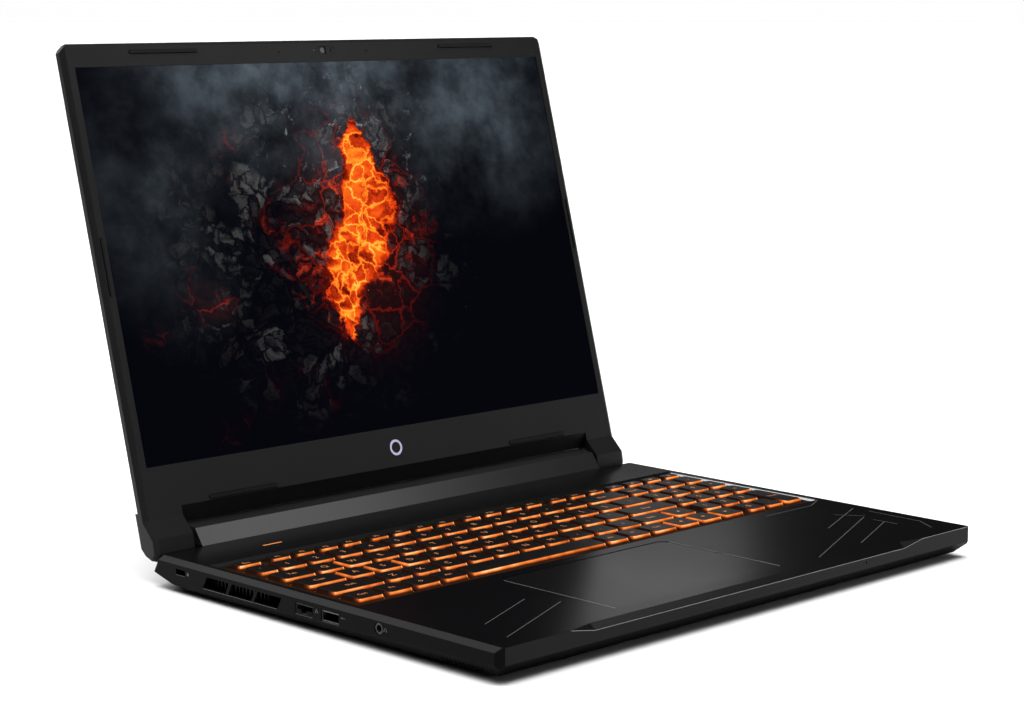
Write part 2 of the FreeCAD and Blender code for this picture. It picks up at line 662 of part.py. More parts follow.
# ---- lid ---------------------------------------------------------------------------------
def lid_box(x0, x1, v0, v1, w0, w1):
    return box(x0, x1, -w1, -w0, v0, v1)


def lid_prism(points, x0, x1):
    """Prism along x from (v, w) points of the lid frame."""
    return prism_x([(-w, v) for v, w in points], x0, x1)


def lid_plane(point, normal):
    """Far side of a plane given by x, v, w numbers."""
    x, v, w = point
    a, b, c = normal
    return beyond(Vector(x, -w, v), Vector(a, -c, b))


def swung_up(shape):
    """Move a piece from the lid frame to its place on the open laptop."""
    raised = shape.copy()
    raised.rotate(Vector(0, 0, 0), Vector(1, 0, 0), -LEAN)
    raised.translate(Vector(0, HINGE_Y, HINGE_Z))
    return raised


# Side view of a hinge knuckle as (v, w) points, clockwise seen from the right of the laptop.
KNUCKLE = [(16.0, LID_BACK), (-2.5, LID_BACK), (-6.6, -2.2), (-10.85, 4.1), (-7.2, 7.5), (0.9, 8.2),
           (11.1, LID_FRONT), (16.0, LID_FRONT)]
FRONT_EDGES = [0, 0, 0, EDGE_DROP, EDGE_DROP, EDGE_DROP, EDGE_DROP, 0]
TOP_CORNER = 4.5
RECESS_TOP = 16.3
BACK_BEVEL = (3.4, 2.16)


def knuckle_outline(distances):
    """Knuckle outline moved inward by one distance per edge."""
    flat = [(-w, v) for v, w in KNUCKLE]
    turned = flat[::-1]
    moves = distances[::-1]
    moves = moves[1:] + moves[:1]
    inset = inset_outline(turned, moves)
    return [(v, -y) for y, v in inset[::-1]]


def knuckle_solid():
    """Right-hand knuckle with the bezel's chamfer carried round its outer edge."""
    flat_end = LID_HALF - EDGE_RUN
    core = lid_prism(KNUCKLE, KNUCKLE_X, flat_end)
    wide = knuckle_outline([0] * len(KNUCKLE))
    narrow = knuckle_outline(FRONT_EDGES)
    sections = []
    for x, outline in ((flat_end, wide), (LID_HALF, narrow)):
        corners = [Vector(x, -w, v) for v, w in outline]
        sections.append(Part.makePolygon(corners + [corners[0]]))
    return fused([core, lofted(sections[0], sections[1])])


def lid_envelope():
    slab = lid_box(-LID_HALF, LID_HALF, LIP_BACK[0], LID_TOP, LID_BACK, LID_FRONT)
    cuts = []
    run, drop = EDGE_RUN, EDGE_DROP
    back_run, back_drop = BACK_BEVEL
    for side in (-1, 1):
        cuts.append(lid_plane((side * (LID_HALF - run), 0, LID_FRONT), (side * drop, 0, run)))
        cuts.append(lid_plane((side * (LID_HALF - back_run), 0, LID_BACK), (side * back_drop, 0, -back_run)))
        cuts.append(lid_plane((side * (LID_HALF - TOP_CORNER), LID_TOP, 0), (side, 1, 0)))
    cuts.append(lid_plane((0, LID_TOP - run + 0.8, LID_FRONT), (0, drop, run)))
    cuts.append(lid_plane((0, LID_TOP - back_run, LID_BACK), (0, back_drop, -back_run)))
    right = knuckle_solid()
    body = fused([slab.cut(cuts), right, mirrored(right)])
    below = [(-20.0, LID_BACK), (-20.0, 12.0)]
    recess = [(RECESS_TOP, LID_FRONT), LIP_FRONT, LIP_BACK] + below + [(RECESS_TOP, 12.0)]
    return body.cut(lid_prism(recess, -KNUCKLE_X, KNUCKLE_X))


def lid_cavity():
    """Space inside the lid and its knuckles."""
    back = LID_BACK + 1.4
    room = lid_box(-176.2, 176.2, 10.2, 265.2, back, LID_FRONT - 0.8)
    corners = [lid_plane((side * 172.6, 265.2, 0), (side, 1, 0)) for side in (-1, 1)]
    behind_recess = [(19.0, 6.0), (18.0, LID_FRONT - 0.8), (11.9, back), (0.0, back), (0.0, 6.0)]
    lip = KNUCKLE_X + 1.4
    room = room.cut(corners + [lid_prism(behind_recess, -lip, lip)])
    hollow = lid_prism(knuckle_outline([0, 1.4, 1.4, 1.4, 1.4, 1.4, 1.4, 0]), lip, 177.6)
    low = hollow.cut(lid_box(0, 200, 10.2, 40, -20, 20))
    return [room, low, mirrored(low)]


def bezel_zone():
    """Everything in front of the seam between the bezel and the back cover."""
    back = LID_BACK + 1.4
    middle = [(FAR, SEAM_W), (16.4, SEAM_W), (11.5, back), (0.0, back), (0.0, 20.0), (FAR, 20.0)]
    zone = [lid_prism(middle, -KNUCKLE_X, KNUCKLE_X)]
    seam = knuckle_outline(FRONT_EDGES)
    front = [point for point in seam[3:7]]
    end = (FAR, SEAM_W)
    band = [front[0], front[1], front[2], front[3], end, (FAR, 20.0), (-20.0, 20.0), (-20.0, front[0][1])]
    side = lid_prism(band, KNUCKLE_X, LID_HALF + 5)
    return fused(zone + [side, mirrored(side)])


def make_lid_back_cover(envelope, cavity, zone):
    cover = envelope.cut(cavity + [zone])
    pin_room = []
    for side in (-1, 1):
        x0 = min(side * 150.0, side * 158.0)
        pin_room.append(cylinder((x0, 0, 0), (1, 0, 0), HINGE_PIN_RADIUS + 0.3, 8.0))
    return cover.cut(pin_room)


def camera_pocket():
    return lid_box(-3.7, 8.3, CAMERA_V - 2.3, CAMERA_V + 2.3, LID_FRONT - 0.6, LID_FRONT + 1)


def make_screen_bezel(envelope, cavity, zone):
    bezel = envelope.cut(cavity).common(zone)
    backing = lid_box(-8.0, 12.0, CAMERA_V - 4.2, CAMERA_V + 3.6, LID_FRONT - 1.3, LID_FRONT - 0.7)
    bezel = fused([bezel, backing])
    half = SCREEN_WIDTH / 2
    top = SCREEN_BOTTOM + SCREEN_HEIGHT
    cuts = [lid_box(-half, half, SCREEN_BOTTOM, top, -20, 20)]
    cuts.append(camera_pocket())
    holes = [(0.0, CAMERA_V, 1.75), (-6.8, CAMERA_V, 0.55)]
    holes += [(x, CAMERA_V - 0.9, 0.45) for x in (-32.8, 32.8)]
    for x, v, radius in holes:
        cuts.append(cylinder((x, -10, v), (0, 1, 0), radius, 12))
    for side in (-1, 1):
        x0 = min(side * 150.0, side * 158.0)
        cuts.append(cylinder((x0, 0, 0), (1, 0, 0), HINGE_PIN_RADIUS + 0.3, 8.0))
    return bezel.cut(cuts)


def make_display_panel():
    half = SCREEN_WIDTH / 2 + 2.0
    top = SCREEN_BOTTOM + SCREEN_HEIGHT
    return lid_box(-half, half, SCREEN_BOTTOM - 2.4, top + 2.0, -1.3, LID_FRONT - 0.82)


def make_camera_module():
    board = lid_box(-36.0, 36.0, CAMERA_V - 3.4, CAMERA_V + 3.2, -1.5, -0.4)
    lens = cylinder((0, -(LID_FRONT - 0.7), CAMERA_V), (0, 1, 0), 1.7, LID_FRONT - 0.7 + 1.0)
    lamp = cylinder((-6.8, -(LID_FRONT - 0.1), CAMERA_V), (0, 1, 0), 0.5, LID_FRONT + 1.0)
    return fused([board, lens, lamp])


def make_camera_shutter():
    """Thin slider with a raised finger rib."""
    low = LID_FRONT - 0.55
    plate = lid_box(2.0, 8.2, CAMERA_V - 2.2, CAMERA_V + 2.2, low, LID_FRONT - 0.05)
    rib = lid_box(5.6, 6.4, CAMERA_V - 1.3, CAMERA_V + 1.3, low, LID_FRONT + 0.3)
    return fused([plate, rib])


def lid_strip(x0, x1, v0, v1):
    bar = slot(x0, x1, v0, v1, 0.0, 0.7)
    bar.rotate(Vector(0, 0, 0), Vector(1, 0, 0), 90)
    bar.translate(Vector(0, -LID_FRONT, 0))
    return bar


def make_lid_bumpers():
    strips = [lid_strip(90.5, 136.0, 261.1, 262.7), lid_strip(89.0, 135.5, 17.0, 19.0)]
    side = lid_box(174.6, 175.6, 131.0, 162.0, LID_FRONT, LID_FRONT + 0.7)
    return group(on_both_sides(strips + [side]))


def make_lid_badge():
    """Plain ring on the lower bezel."""
    centre = (0, -(LID_FRONT + 0.3), 27.0)
    disc = cylinder(centre, (0, 1, 0), 4.6, 0.3)
    hole = cylinder((0, -(LID_FRONT + 1), 27.0), (0, 1, 0), 3.2, 2.0)
    return disc.cut(hole)


def make_antennas():
    strip = lid_box(60.0, 118.0, 257.2, 264.4, -3.4, -2.4)
    return group(on_both_sides([strip]))


def make_hinge_arm():
    """Steel leaf in the lid, folded round the hinge pin."""
    leaf = lid_box(160.0, 174.0, 4.0, 74.0, -3.5, -2.3)
    knuckle = lid_box(158.5, 168.0, -1.0, 12.0, -3.5, -2.3)
    eye = cylinder((158.5, 0, 0), (1, 0, 0), 3.4, 8.0)
    block = lid_box(158.5, 166.5, -2.3, 3.0, -3.2, 0.0)
    pin = cylinder((137.5, 0, 0), (1, 0, 0), HINGE_PIN_RADIUS, 27.0)
    return fused([leaf, knuckle, eye, block, pin])


# ---- all nodes ---------------------------------------------------------------------------
def make_nodes():
    shell = base_envelope(0.0).cut(base_envelope(WALL))
    layout = keyboard_layout()
    nodes = {
        "top_case": make_top_case(shell),
        "bottom_cover": make_bottom_cover(shell),
        "rear_exhaust_frame": make_rear_frame(),
        "hinge_cover": make_hinge_cover(),
        "rubber_feet": make_rubber_feet(),
        "bottom_screws": make_bottom_screws(),
        "status_light": make_status_light(),
        "key_frame": make_key_frame(layout),
        "backlight_sheet": make_backlight_sheet(),
        "keyboard_plate": make_keyboard_plate(),
        "touchpad": make_touchpad(),
        "mainboard": make_mainboard(),
        "processor_chips": make_chips(),
        "heat_pipes": make_heat_pipes(),
        "cooling_fins": make_cooling_fins(),
        "battery": make_battery(),
        "memory_modules": make_memory(),
        "solid_state_drive": make_drive(),
        "wireless_card": make_wireless_card(),
        "speakers": group(on_both_sides([make_speaker()])),
        "usb_a_sockets": make_usb_a_sockets(),
        "network_socket": make_network_socket(),
        "audio_jack": make_audio_jack(),
        "video_socket": make_video_socket(),
        "usb_c_socket": make_usb_c_socket(),
        "power_inlet": make_power_inlet(),
    }
    for side, turn in (("right", lambda shape: shape), ("left", mirrored)):
        nodes["fan_housing_" + side] = turn(make_fan_housing())
        nodes["fan_rotor_" + side] = turn(make_fan_rotor())
        nodes["hinge_mount_" + side] = turn(make_hinge_mount())
        nodes["hinge_arm_" + side] = swung_up(turn(make_hinge_arm()))
    for name, caps in layout.items():
        nodes[name] = group([make_keycap(cap) for cap in caps])
    envelope = lid_envelope()
    cavity = lid_cavity()
    zone = bezel_zone()
    nodes["lid_back_cover"] = swung_up(make_lid_back_cover(envelope, cavity, zone))
    nodes["screen_bezel"] = swung_up(make_screen_bezel(envelope, cavity, zone))
    nodes["display_panel"] = swung_up(make_display_panel())
    nodes["camera_module"] = swung_up(make_camera_module())
    nodes["camera_shutter"] = swung_up(make_camera_shutter())
    nodes["lid_bumpers"] = swung_up(make_lid_bumpers())
    nodes["lid_badge"] = swung_up(make_lid_badge())
    nodes["wireless_antennas"] = swung_up(make_antennas())
    return nodes


def rearmost_y():
    """Rear edge of the lid's back face, at the top of the open lid."""
    lean = math.radians(LEAN)
    v = LID_TOP - BACK_BEVEL[0]
    return HINGE_Y + v * math.sin(lean) - LID_BACK * math.cos(lean)


def origin_shift():
    return Vector(0, -rearmost_y() / 2, DECK_HEIGHT)


def main():
    os.makedirs("parts", exist_ok=True)
    shift = origin_shift()
    for name, shape in make_nodes().items():
        placed = shape.copy()
        placed.translate(shift)
        placed.exportStep("parts/" + name + ".step")


main()
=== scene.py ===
"""Looks of an open laptop computer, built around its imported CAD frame. All lengths are in metres."""

import json
import math

import bmesh
import bpy
from mathutils import Euler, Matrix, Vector


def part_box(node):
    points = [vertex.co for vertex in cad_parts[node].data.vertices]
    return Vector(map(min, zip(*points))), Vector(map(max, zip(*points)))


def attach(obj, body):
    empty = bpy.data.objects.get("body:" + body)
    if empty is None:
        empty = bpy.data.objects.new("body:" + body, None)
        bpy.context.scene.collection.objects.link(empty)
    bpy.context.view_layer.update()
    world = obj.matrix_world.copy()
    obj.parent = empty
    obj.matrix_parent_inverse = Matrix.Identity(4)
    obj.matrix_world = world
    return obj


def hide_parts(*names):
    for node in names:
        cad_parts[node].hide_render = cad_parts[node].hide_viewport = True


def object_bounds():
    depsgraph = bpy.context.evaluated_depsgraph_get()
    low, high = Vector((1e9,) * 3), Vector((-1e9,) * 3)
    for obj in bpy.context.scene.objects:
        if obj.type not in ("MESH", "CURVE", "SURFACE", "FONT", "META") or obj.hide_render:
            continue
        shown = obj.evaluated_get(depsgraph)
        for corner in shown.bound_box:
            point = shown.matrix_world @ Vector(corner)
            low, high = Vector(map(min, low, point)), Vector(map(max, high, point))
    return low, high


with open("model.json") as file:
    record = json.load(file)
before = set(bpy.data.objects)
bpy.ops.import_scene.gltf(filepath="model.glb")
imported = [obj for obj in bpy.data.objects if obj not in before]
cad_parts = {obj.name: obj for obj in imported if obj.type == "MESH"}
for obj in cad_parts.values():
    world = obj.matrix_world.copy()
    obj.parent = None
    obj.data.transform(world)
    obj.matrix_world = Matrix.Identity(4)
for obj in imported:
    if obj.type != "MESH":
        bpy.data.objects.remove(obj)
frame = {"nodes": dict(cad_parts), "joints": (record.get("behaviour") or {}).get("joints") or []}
cad_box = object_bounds()

MM = 0.001
LEAN = math.radians(15.09)     # the open lid leans back by this much
PANEL_HEIGHT = 215.4 * MM
PANEL_FOOT = 38.65 * MM        # from the hinge axis up to the picture's lower edge
BEZEL_FACE = 2.24 * MM         # from the hinge axis forward to the bezel's face
DECK_Z = 17.4 * MM             # palm rest above the desk


# ---- node helpers ------------------------------------------------------------------------
class Recipe:
    """One material's node tree."""

    def __init__(self, name):
        self.material = bpy.data.materials.new(name)
        self.material.use_nodes = True
        self.tree = self.material.node_tree
        self.tree.nodes.clear()
        self.place = self.node("TexCoord").outputs["Object"]

    def node(self, kind, inputs=None, **settings):
        made = self.tree.nodes.new("ShaderNode" + kind)
        for key, value in settings.items():
            setattr(made, key, value)
        for key, value in (inputs or {}).items():
            self.put(made.inputs[key], value)
        return made

    def put(self, socket, value):
        if isinstance(value, bpy.types.NodeSocket):
            self.tree.links.new(value, socket)
        elif isinstance(value, tuple) and len(value) == 3 and socket.type == "RGBA":
            socket.default_value = (*value, 1.0)
        else:
            socket.default_value = value

    def math(self, operation, *values, clamp=False):
        made = self.node("Math", operation=operation, use_clamp=clamp)
        for socket, value in zip(made.inputs, values):
            self.put(socket, value)
        return made.outputs[0]

    def vector(self, operation, *values):
        made = self.node("VectorMath", operation=operation)
        for socket, value in zip(made.inputs, values):
            self.put(socket, value)
        return made.outputs[1 if operation in ("DOT_PRODUCT", "LENGTH", "DISTANCE") else 0]

    def mix(self, factor, first, second, blend="MIX"):
        made = self.node("Mix", data_type="RGBA", blend_type=blend)
        self.put(made.inputs[0], factor)
        self.put(made.inputs[6], first)
        self.put(made.inputs[7], second)
        return made.outputs[2]

    def ramp(self, value, stops):
        made = self.node("ValToRGB", {"Fac": value})
        ramp = made.color_ramp
        while len(ramp.elements) < len(stops):
            ramp.elements.new(0.5)
        for element, (position, colour) in zip(ramp.elements, stops):
            element.position = position
            element.color = (*colour, 1.0) if isinstance(colour, tuple) else (colour, colour, colour, 1.0)
        return made.outputs["Color"]

    def between(self, value, low, high):
        """Smooth step from 0 at low to 1 at high."""
        made = self.node("MapRange", {"From Min": low, "From Max": high}, interpolation_type="SMOOTHSTEP")
        self.put(made.inputs["Value"], value)
        return made.outputs["Result"]

    def noise(self, scale, detail=3.0, roughness=0.5, place=None, colour=False):
        inputs = {"Vector": place or self.place, "Scale": scale, "Detail": detail, "Roughness": roughness}
        made = self.node("TexNoise", inputs)
        return made.outputs["Color" if colour else "Fac"]

    def voronoi(self, scale, feature="F1", output="Distance", place=None):
        made = self.node("TexVoronoi", {"Vector": place or self.place, "Scale": scale}, feature=feature)
        return made.outputs[output]

    def rounded_edges(self, radius):
        return self.node("Bevel", {"Radius": radius}, samples=4).outputs["Normal"]

    def bump(self, height, depth, normal=None):
        inputs = {"Height": height, "Distance": depth}
        if normal is not None:
            inputs["Normal"] = normal
        return self.node("Bump", inputs).outputs["Normal"]

    def surface(self, **inputs):
        """Principled surface; an input's name is written with _ for each space."""
        named = {key.replace("_", " "): value for key, value in inputs.items()}
        shader = self.node("BsdfPrincipled", named)
        out = self.node("OutputMaterial")
        self.tree.links.new(shader.outputs[0], out.inputs["Surface"])
        return self.material


# ---- materials ---------------------------------------------------------------------------
def plastic(name, colour, roughness, grain=0.35 * MM, depth=0.012 * MM, edge=0.25 * MM, specular=0.5,
            facings=()):
    """Moulded or painted plastic with fine grain, faint colour drift and uneven gloss.

    Each facing is (axis, start, end, specular): faces whose normal on that axis is past the end take
    that other specular level.
    """
    r = Recipe(name)
    directions = r.node("SeparateXYZ", {"Vector": r.node("TexCoord").outputs["Normal"]}).outputs
    for axis, start, end, other in facings:
        change = r.math("SUBTRACT", other, specular)
        specular = r.math("MULTIPLY_ADD", r.between(directions[axis], start, end), change, specular)
    drift = r.noise(22.0, 4.0)
    lighter = tuple(min(1.0, channel * 1.35 + 0.0005) for channel in colour)
    tone = r.mix(drift, colour, lighter)
    smudge = r.noise(9.0, 5.0, 0.6)
    gloss = r.math("MULTIPLY_ADD", smudge, 0.10, roughness - 0.05)
    normal = r.bump(r.noise(1.0 / grain, 2.0), depth, r.rounded_edges(edge))
    return r.surface(Base_Color=tone, Roughness=gloss, Normal=normal, Specular_IOR_Level=specular)


def metal(name, colour, roughness, stretch=(1.0, 1.0, 1.0), edge=0.12 * MM):
    """Metal with fine lines drawn along the axis with the smallest stretch."""
    r = Recipe(name)
    lines = r.noise(5000.0, 2.0, place=r.vector("MULTIPLY", r.place, stretch))
    tarnish = r.noise(60.0, 4.0)
    darker = tuple(channel * 0.75 for channel in colour)
    tone = r.mix(tarnish, darker, colour)
    gloss = r.math("MULTIPLY_ADD", lines, 0.18, roughness - 0.09)
    normal = r.bump(lines, 0.004 * MM, r.rounded_edges(edge))
    return r.surface(Base_Color=tone, Roughness=gloss, Metallic=1.0, Normal=normal)


def rubber(name):
    r = Recipe(name)
    grain = r.noise(2600.0, 3.0)
    tone = r.mix(r.noise(70.0, 3.0), (0.008, 0.008, 0.008), (0.02, 0.02, 0.02))
    normal = r.bump(grain, 0.03 * MM, r.rounded_edges(0.3 * MM))
    return r.surface(Base_Color=tone, Roughness=0.85, Normal=normal)


def glow(name, dim, bright, strength, scale=90.0):
    """Lit plastic whose brightness wanders a little."""
    r = Recipe(name)
    tone = r.mix(r.noise(scale, 2.0), dim, bright)
    return r.surface(Base_Color=(0.25, 0.1, 0.03), Roughness=0.5, Emission_Color=tone,
                     Emission_Strength=strength)


def circuit_board(name, colour):
    """Solder-masked board with copper tracks and pads."""
    r = Recipe(name)
    tracks = r.between(r.voronoi(420.0, "DISTANCE_TO_EDGE"), 0.02, 0.05)
    pads = r.between(r.voronoi(900.0), 0.16, 0.2)
    lighter = tuple(channel * 2.2 for channel in colour)
    tone = r.mix(tracks, lighter, colour)
    tone = r.mix(pads, (0.45, 0.33, 0.14), tone)
    return r.surface(Base_Color=tone, Roughness=0.4, Normal=r.bump(tracks, 0.03 * MM))


def key_skirt():
    """Side of a keycap, lit from inside; each cap's mesh says how bright it is at each point, as a painted
    glow that is brightest on the front and left sides.
    """
    r = Recipe("key_skirt_lit")
    level = r.node("Attribute", attribute_name="glow").outputs["Fac"]
    wander = r.math("MULTIPLY_ADD", r.noise(130.0, 3.0), 1.3, 0.33)
    heat = r.math("MULTIPLY", level, wander, clamp=True)
    stops = [(0.0, (0.006, 0.002, 0.001)), (0.25, (0.10, 0.018, 0.004)), (0.5, (0.60, 0.11, 0.015)),
             (0.75, (1.0, 0.28, 0.05)), (0.9, (1.0, 0.42, 0.13)), (1.0, (1.0, 0.68, 0.34))]
    tone = r.ramp(heat, stops)
    return r.surface(Base_Color=(0.012, 0.004, 0.002), Roughness=0.6, Specular_IOR_Level=0.02,
                     Emission_Color=tone, Emission_Strength=1.1)


def web_plastic():
    """Web between the keys: dark plastic with backlight leaking through."""
    r = Recipe("key_web")
    leak = r.ramp(r.noise(110.0, 3.0), [(0.42, (0.02, 0.003, 0.0005)), (0.7, (0.75, 0.15, 0.015))])
    grain = r.bump(r.noise(3000.0, 2.0), 0.01 * MM)
    return r.surface(Base_Color=(0.008, 0.004, 0.002), Roughness=0.6, Specular_IOR_Level=0.02, Normal=grain,
                     Emission_Color=leak, Emission_Strength=0.035)


def lid_directions():
    """Directions up the leaning screen and out of it, and the hinge axis."""
    up = Vector((0.0, math.sin(LEAN), math.cos(LEAN)))
    out = Vector((0.0, -math.cos(LEAN), math.sin(LEAN)))
    hinge = [joint for joint in frame["joints"] if joint["name"] == "lid_hinge"][0]
    axis = Vector(hinge["pos_m"])
    axis.x = 0.0
    return up, out, axis


def screen_picture():
    """Lit display: broken dark rock under blue smoke, with one glowing crack down the middle."""
    r = Recipe("display_picture")
    up, _, axis = lid_directions()
    across = r.node("SeparateXYZ", {"Vector": r.place}).outputs["X"]
    across = r.math("DIVIDE", across, PANEL_HEIGHT)
    height = r.vector("DOT_PRODUCT", r.place, tuple(up))
    height = r.math("SUBTRACT", height, axis.dot(up) + PANEL_FOOT)
    height = r.math("DIVIDE", height, PANEL_HEIGHT)
    flat = r.node("CombineXYZ", {"X": across, "Y": height}).outputs[0]

    def blob(x, y, wide, tall, soft=0.5):
        """Soft ellipse: 1 inside, 0 outside."""
        off = r.vector("SUBTRACT", flat, (x, y, 0.0))
        reach = r.vector("LENGTH", r.vector("DIVIDE", off, (wide, tall, 1.0)))
        return r.between(reach, 1.0, soft)

    def part(vector, axis):
        return r.node("SeparateXYZ", {"Vector": vector}).outputs[axis]

    def times(*values):
        product = values[0]
        for value in values[1:]:
            product = r.math("MULTIPLY", product, value)
        return product

    # broken rock: big slabs, stones and chips, each stone lit by its own random tilt
    warped = r.vector("MULTIPLY_ADD", r.noise(6.0, 6.0, 0.6, flat, colour=True), (0.22, 0.16, 0.0), flat)
    slabs = r.voronoi(9.0, output="Color", place=warped)
    slab_gaps = r.between(r.voronoi(9.0, "DISTANCE_TO_EDGE", place=warped), 0.0, 0.10)
    stones = r.voronoi(26.0, output="Color", place=warped)
    stone_gaps = r.between(r.voronoi(26.0, "DISTANCE_TO_EDGE", place=warped), 0.0, 0.16)
    chips = r.noise(34.0, 9.0, 0.72, warped)
    lit = r.between(times(part(slabs, "X"), part(stones, "Y")), 0.10, 0.62)
    sides = r.math("MULTIPLY_ADD", lit, 0.85, 0.05)
    face = times(sides, slab_gaps, stone_gaps, r.between(chips, 0.33, 0.66))
    high_light = times(r.between(chips, 0.56, 0.66), r.between(part(stones, "Z"), 0.45, 0.8))
    upper_rock = blob(0.03, 0.80, 0.46, 0.36, 0.0)
    rock_zone = r.math("ADD", blob(-0.16, 0.50, 0.60, 0.52, 0.0), upper_rock, clamp=True)
    picture = r.mix(times(face, rock_zone), (0.0012, 0.0013, 0.0032), (0.13, 0.127, 0.126))
    bright_zone = blob(0.02, 0.78, 0.40, 0.30, 0.0)
    picture = r.mix(times(high_light, bright_zone, 0.95), picture, (0.36, 0.40, 0.42))

    # smoke
    puffs = r.between(r.noise(2.6, 9.0, 0.6, flat), 0.28, 0.66)
    wisps = r.between(r.noise(9.0, 6.0, 0.6, flat), 0.30, 0.75)
    right_smoke = times(blob(0.50, 0.90, 0.50, 0.46, 0.0), 0.62)
    smoke_zone = r.math("MAXIMUM", blob(-0.06, 1.04, 0.80, 0.46, 0.0), right_smoke)
    smoke_zone = r.math("MAXIMUM", smoke_zone, times(blob(-0.62, 0.70, 0.36, 0.5, 0.0), 0.25))
    smoke = times(puffs, r.math("MULTIPLY_ADD", wisps, 0.7, 0.3), smoke_zone, 0.85)
    picture = r.mix(smoke, picture, (0.175, 0.22, 0.26))

    # dull red heat between the stones
    cracks = r.between(r.voronoi(9.0, "DISTANCE_TO_EDGE", place=warped), 0.035, 0.0)
    heat = r.between(r.noise(4.5, 5.0, 0.6, flat), 0.55, 0.74)
    heat = times(heat, blob(-0.40, 0.52, 0.46, 0.60, 0.0))
    picture = r.mix(times(heat, 0.25), picture, (0.10, 0.004, 0.003))
    picture = r.mix(times(heat, cracks, 0.5), picture, (0.70, 0.045, 0.008))

    # the glowing crack: a ragged band with bright veins over red and orange melt
    ragged = r.noise(5.0, 9.0, 0.66, flat, colour=True)
    shaken = r.vector("MULTIPLY_ADD", ragged, (0.24, 0.12, 0.0), flat)
    shaken = r.vector("SUBTRACT", shaken, (0.12, 0.06, 0.0))
    x, y = part(shaken, "X"), part(shaken, "Y")
    bend = times(r.math("SINE", times(y, 13.0)), 0.028)
    centre = r.math("MULTIPLY_ADD", y, 0.26, -0.135)
    off = r.math("ABSOLUTE", r.math("SUBTRACT", x, r.math("ADD", bend, centre)))
    inside = times(r.between(y, 0.20, 0.46), r.between(y, 0.88, 0.56))
    width = r.math("MULTIPLY_ADD", inside, 0.118, 0.0005)
    band = times(r.between(r.math("DIVIDE", off, width), 1.0, 0.55), r.between(inside, 0.0, 0.15))
    spread = times(r.between(r.math("DIVIDE", off, width), 2.6, 0.8), r.between(inside, 0.0, 0.3))
    melt = r.between(r.noise(12.0, 7.0, 0.65, shaken), 0.25, 0.72)
    veins = r.between(r.voronoi(24.0, "DISTANCE_TO_EDGE", place=shaken), 0.13, 0.0)
    level = times(band, r.math("ADD", times(melt, 0.54), times(veins, 0.42)))
    tongues = times(spread, r.between(r.noise(14.0, 8.0, 0.7, shaken), 0.52, 0.66), 0.30)
    near = times(blob(0.02, 0.55, 0.30, 0.40, 0.0), cracks, 0.26)
    level = r.math("MAXIMUM", level, r.math("MAXIMUM", tongues, near), clamp=True)
    fire = r.ramp(level, [(0.0, (0.0, 0.0, 0.0)), (0.12, (0.16, 0.006, 0.001)), (0.32, (0.86, 0.06, 0.006)),
                          (0.55, (1.0, 0.21, 0.012)), (0.78, (1.0, 0.52, 0.04)), (1.0, (1.0, 0.85, 0.30))])
    halo = times(blob(0.02, 0.54, 0.30, 0.44, 0.0), 0.06)
    picture = r.mix(halo, picture, (0.40, 0.04, 0.01))
    picture = r.mix(r.between(band, 0.0, 0.4), picture, (0.02, 0.001, 0.0005))
    picture = r.mix(1.0, picture, fire, "ADD")

    # sparks
    spots = r.voronoi(40.0, place=flat)
    chance = part(r.voronoi(40.0, output="Color", place=flat), "Y")
    sparks = times(r.between(spots, 0.10, 0.04), r.between(chance, 0.90, 0.94), blob(0.0, 0.5, 0.5, 0.5, 0.0))
    picture = r.mix(sparks, picture, (1.0, 0.30, 0.03))

    grain = r.bump(r.noise(6000.0, 2.0), 0.004 * MM)
    return r.surface(Base_Color=(0.0002, 0.0002, 0.0003), Roughness=0.25, Specular_IOR_Level=0.004,
                     Normal=grain, Emission_Color=picture, Emission_Strength=1.0)


DECK = plastic("deck_paint", (0.0018, 0.0018, 0.0020), 0.25, depth=0.002 * MM, edge=0.22 * MM,
               specular=0.075, facings=(("Z", 0.45, 0.25, 0.03), ("Y", -0.8, -0.95, 0.08)))
TOUCHPAD = plastic("touchpad_coat", (0.003, 0.003, 0.0032), 0.24, grain=0.2 * MM, depth=0.001 * MM,
                   specular=0.08)
BASE = plastic("base_plastic_textured", (0.002, 0.002, 0.0022), 0.5, grain=0.5 * MM, depth=0.02 * MM,
               specular=0.03)
HINGE_BAR = plastic("hinge_bar_paint", (0.010, 0.010, 0.0105), 0.25, depth=0.004 * MM)
LID = plastic("lid_paint", (0.003, 0.003, 0.0032), 0.33, depth=0.008 * MM, specular=0.025,
              facings=(("X", -0.45, -0.75, 0.16), ("X", 0.45, 0.75, 0.16)))
BEZEL = plastic("bezel_textured", (0.0085, 0.0085, 0.0087), 0.38, grain=0.3 * MM, depth=0.01 * MM,
                specular=0.14, facings=(("Z", 0.35, 0.55, 0.02),))
KEY_TOP = plastic("keycap_black", (0.003, 0.003, 0.0032), 0.36, grain=0.25 * MM, depth=0.004 * MM,
                  edge=0.1 * MM, specular=0.085)
SOCKET = plastic("socket_black", (0.012, 0.012, 0.012), 0.45)
FAN = plastic("fan_black", (0.02, 0.02, 0.021), 0.3)
BATTERY = plastic("battery_wrap", (0.02, 0.02, 0.02), 0.35, grain=2.0 * MM)
SILICON = plastic("chip_black", (0.03, 0.03, 0.034), 0.2, edge=0.1 * MM)
STEEL = metal("steel_brushed", (0.52, 0.52, 0.53), 0.32, (1.0, 0.05, 1.0))
DARK_STEEL = metal("steel_blackened", (0.045, 0.045, 0.047), 0.42, (1.0, 0.05, 1.0))
SHELL_METAL = metal("socket_shell_metal", (0.22, 0.22, 0.22), 0.32, (0.05, 1.0, 1.0))
COPPER = metal("heat_pipe_copper", (0.75, 0.36, 0.22), 0.28, (0.05, 1.0, 1.0))
FINS = metal("fin_black_coated", (0.03, 0.03, 0.032), 0.45)
RING = metal("badge_ring_metal", (0.66, 0.62, 0.85), 0.3)
RUBBER = rubber("rubber_black")
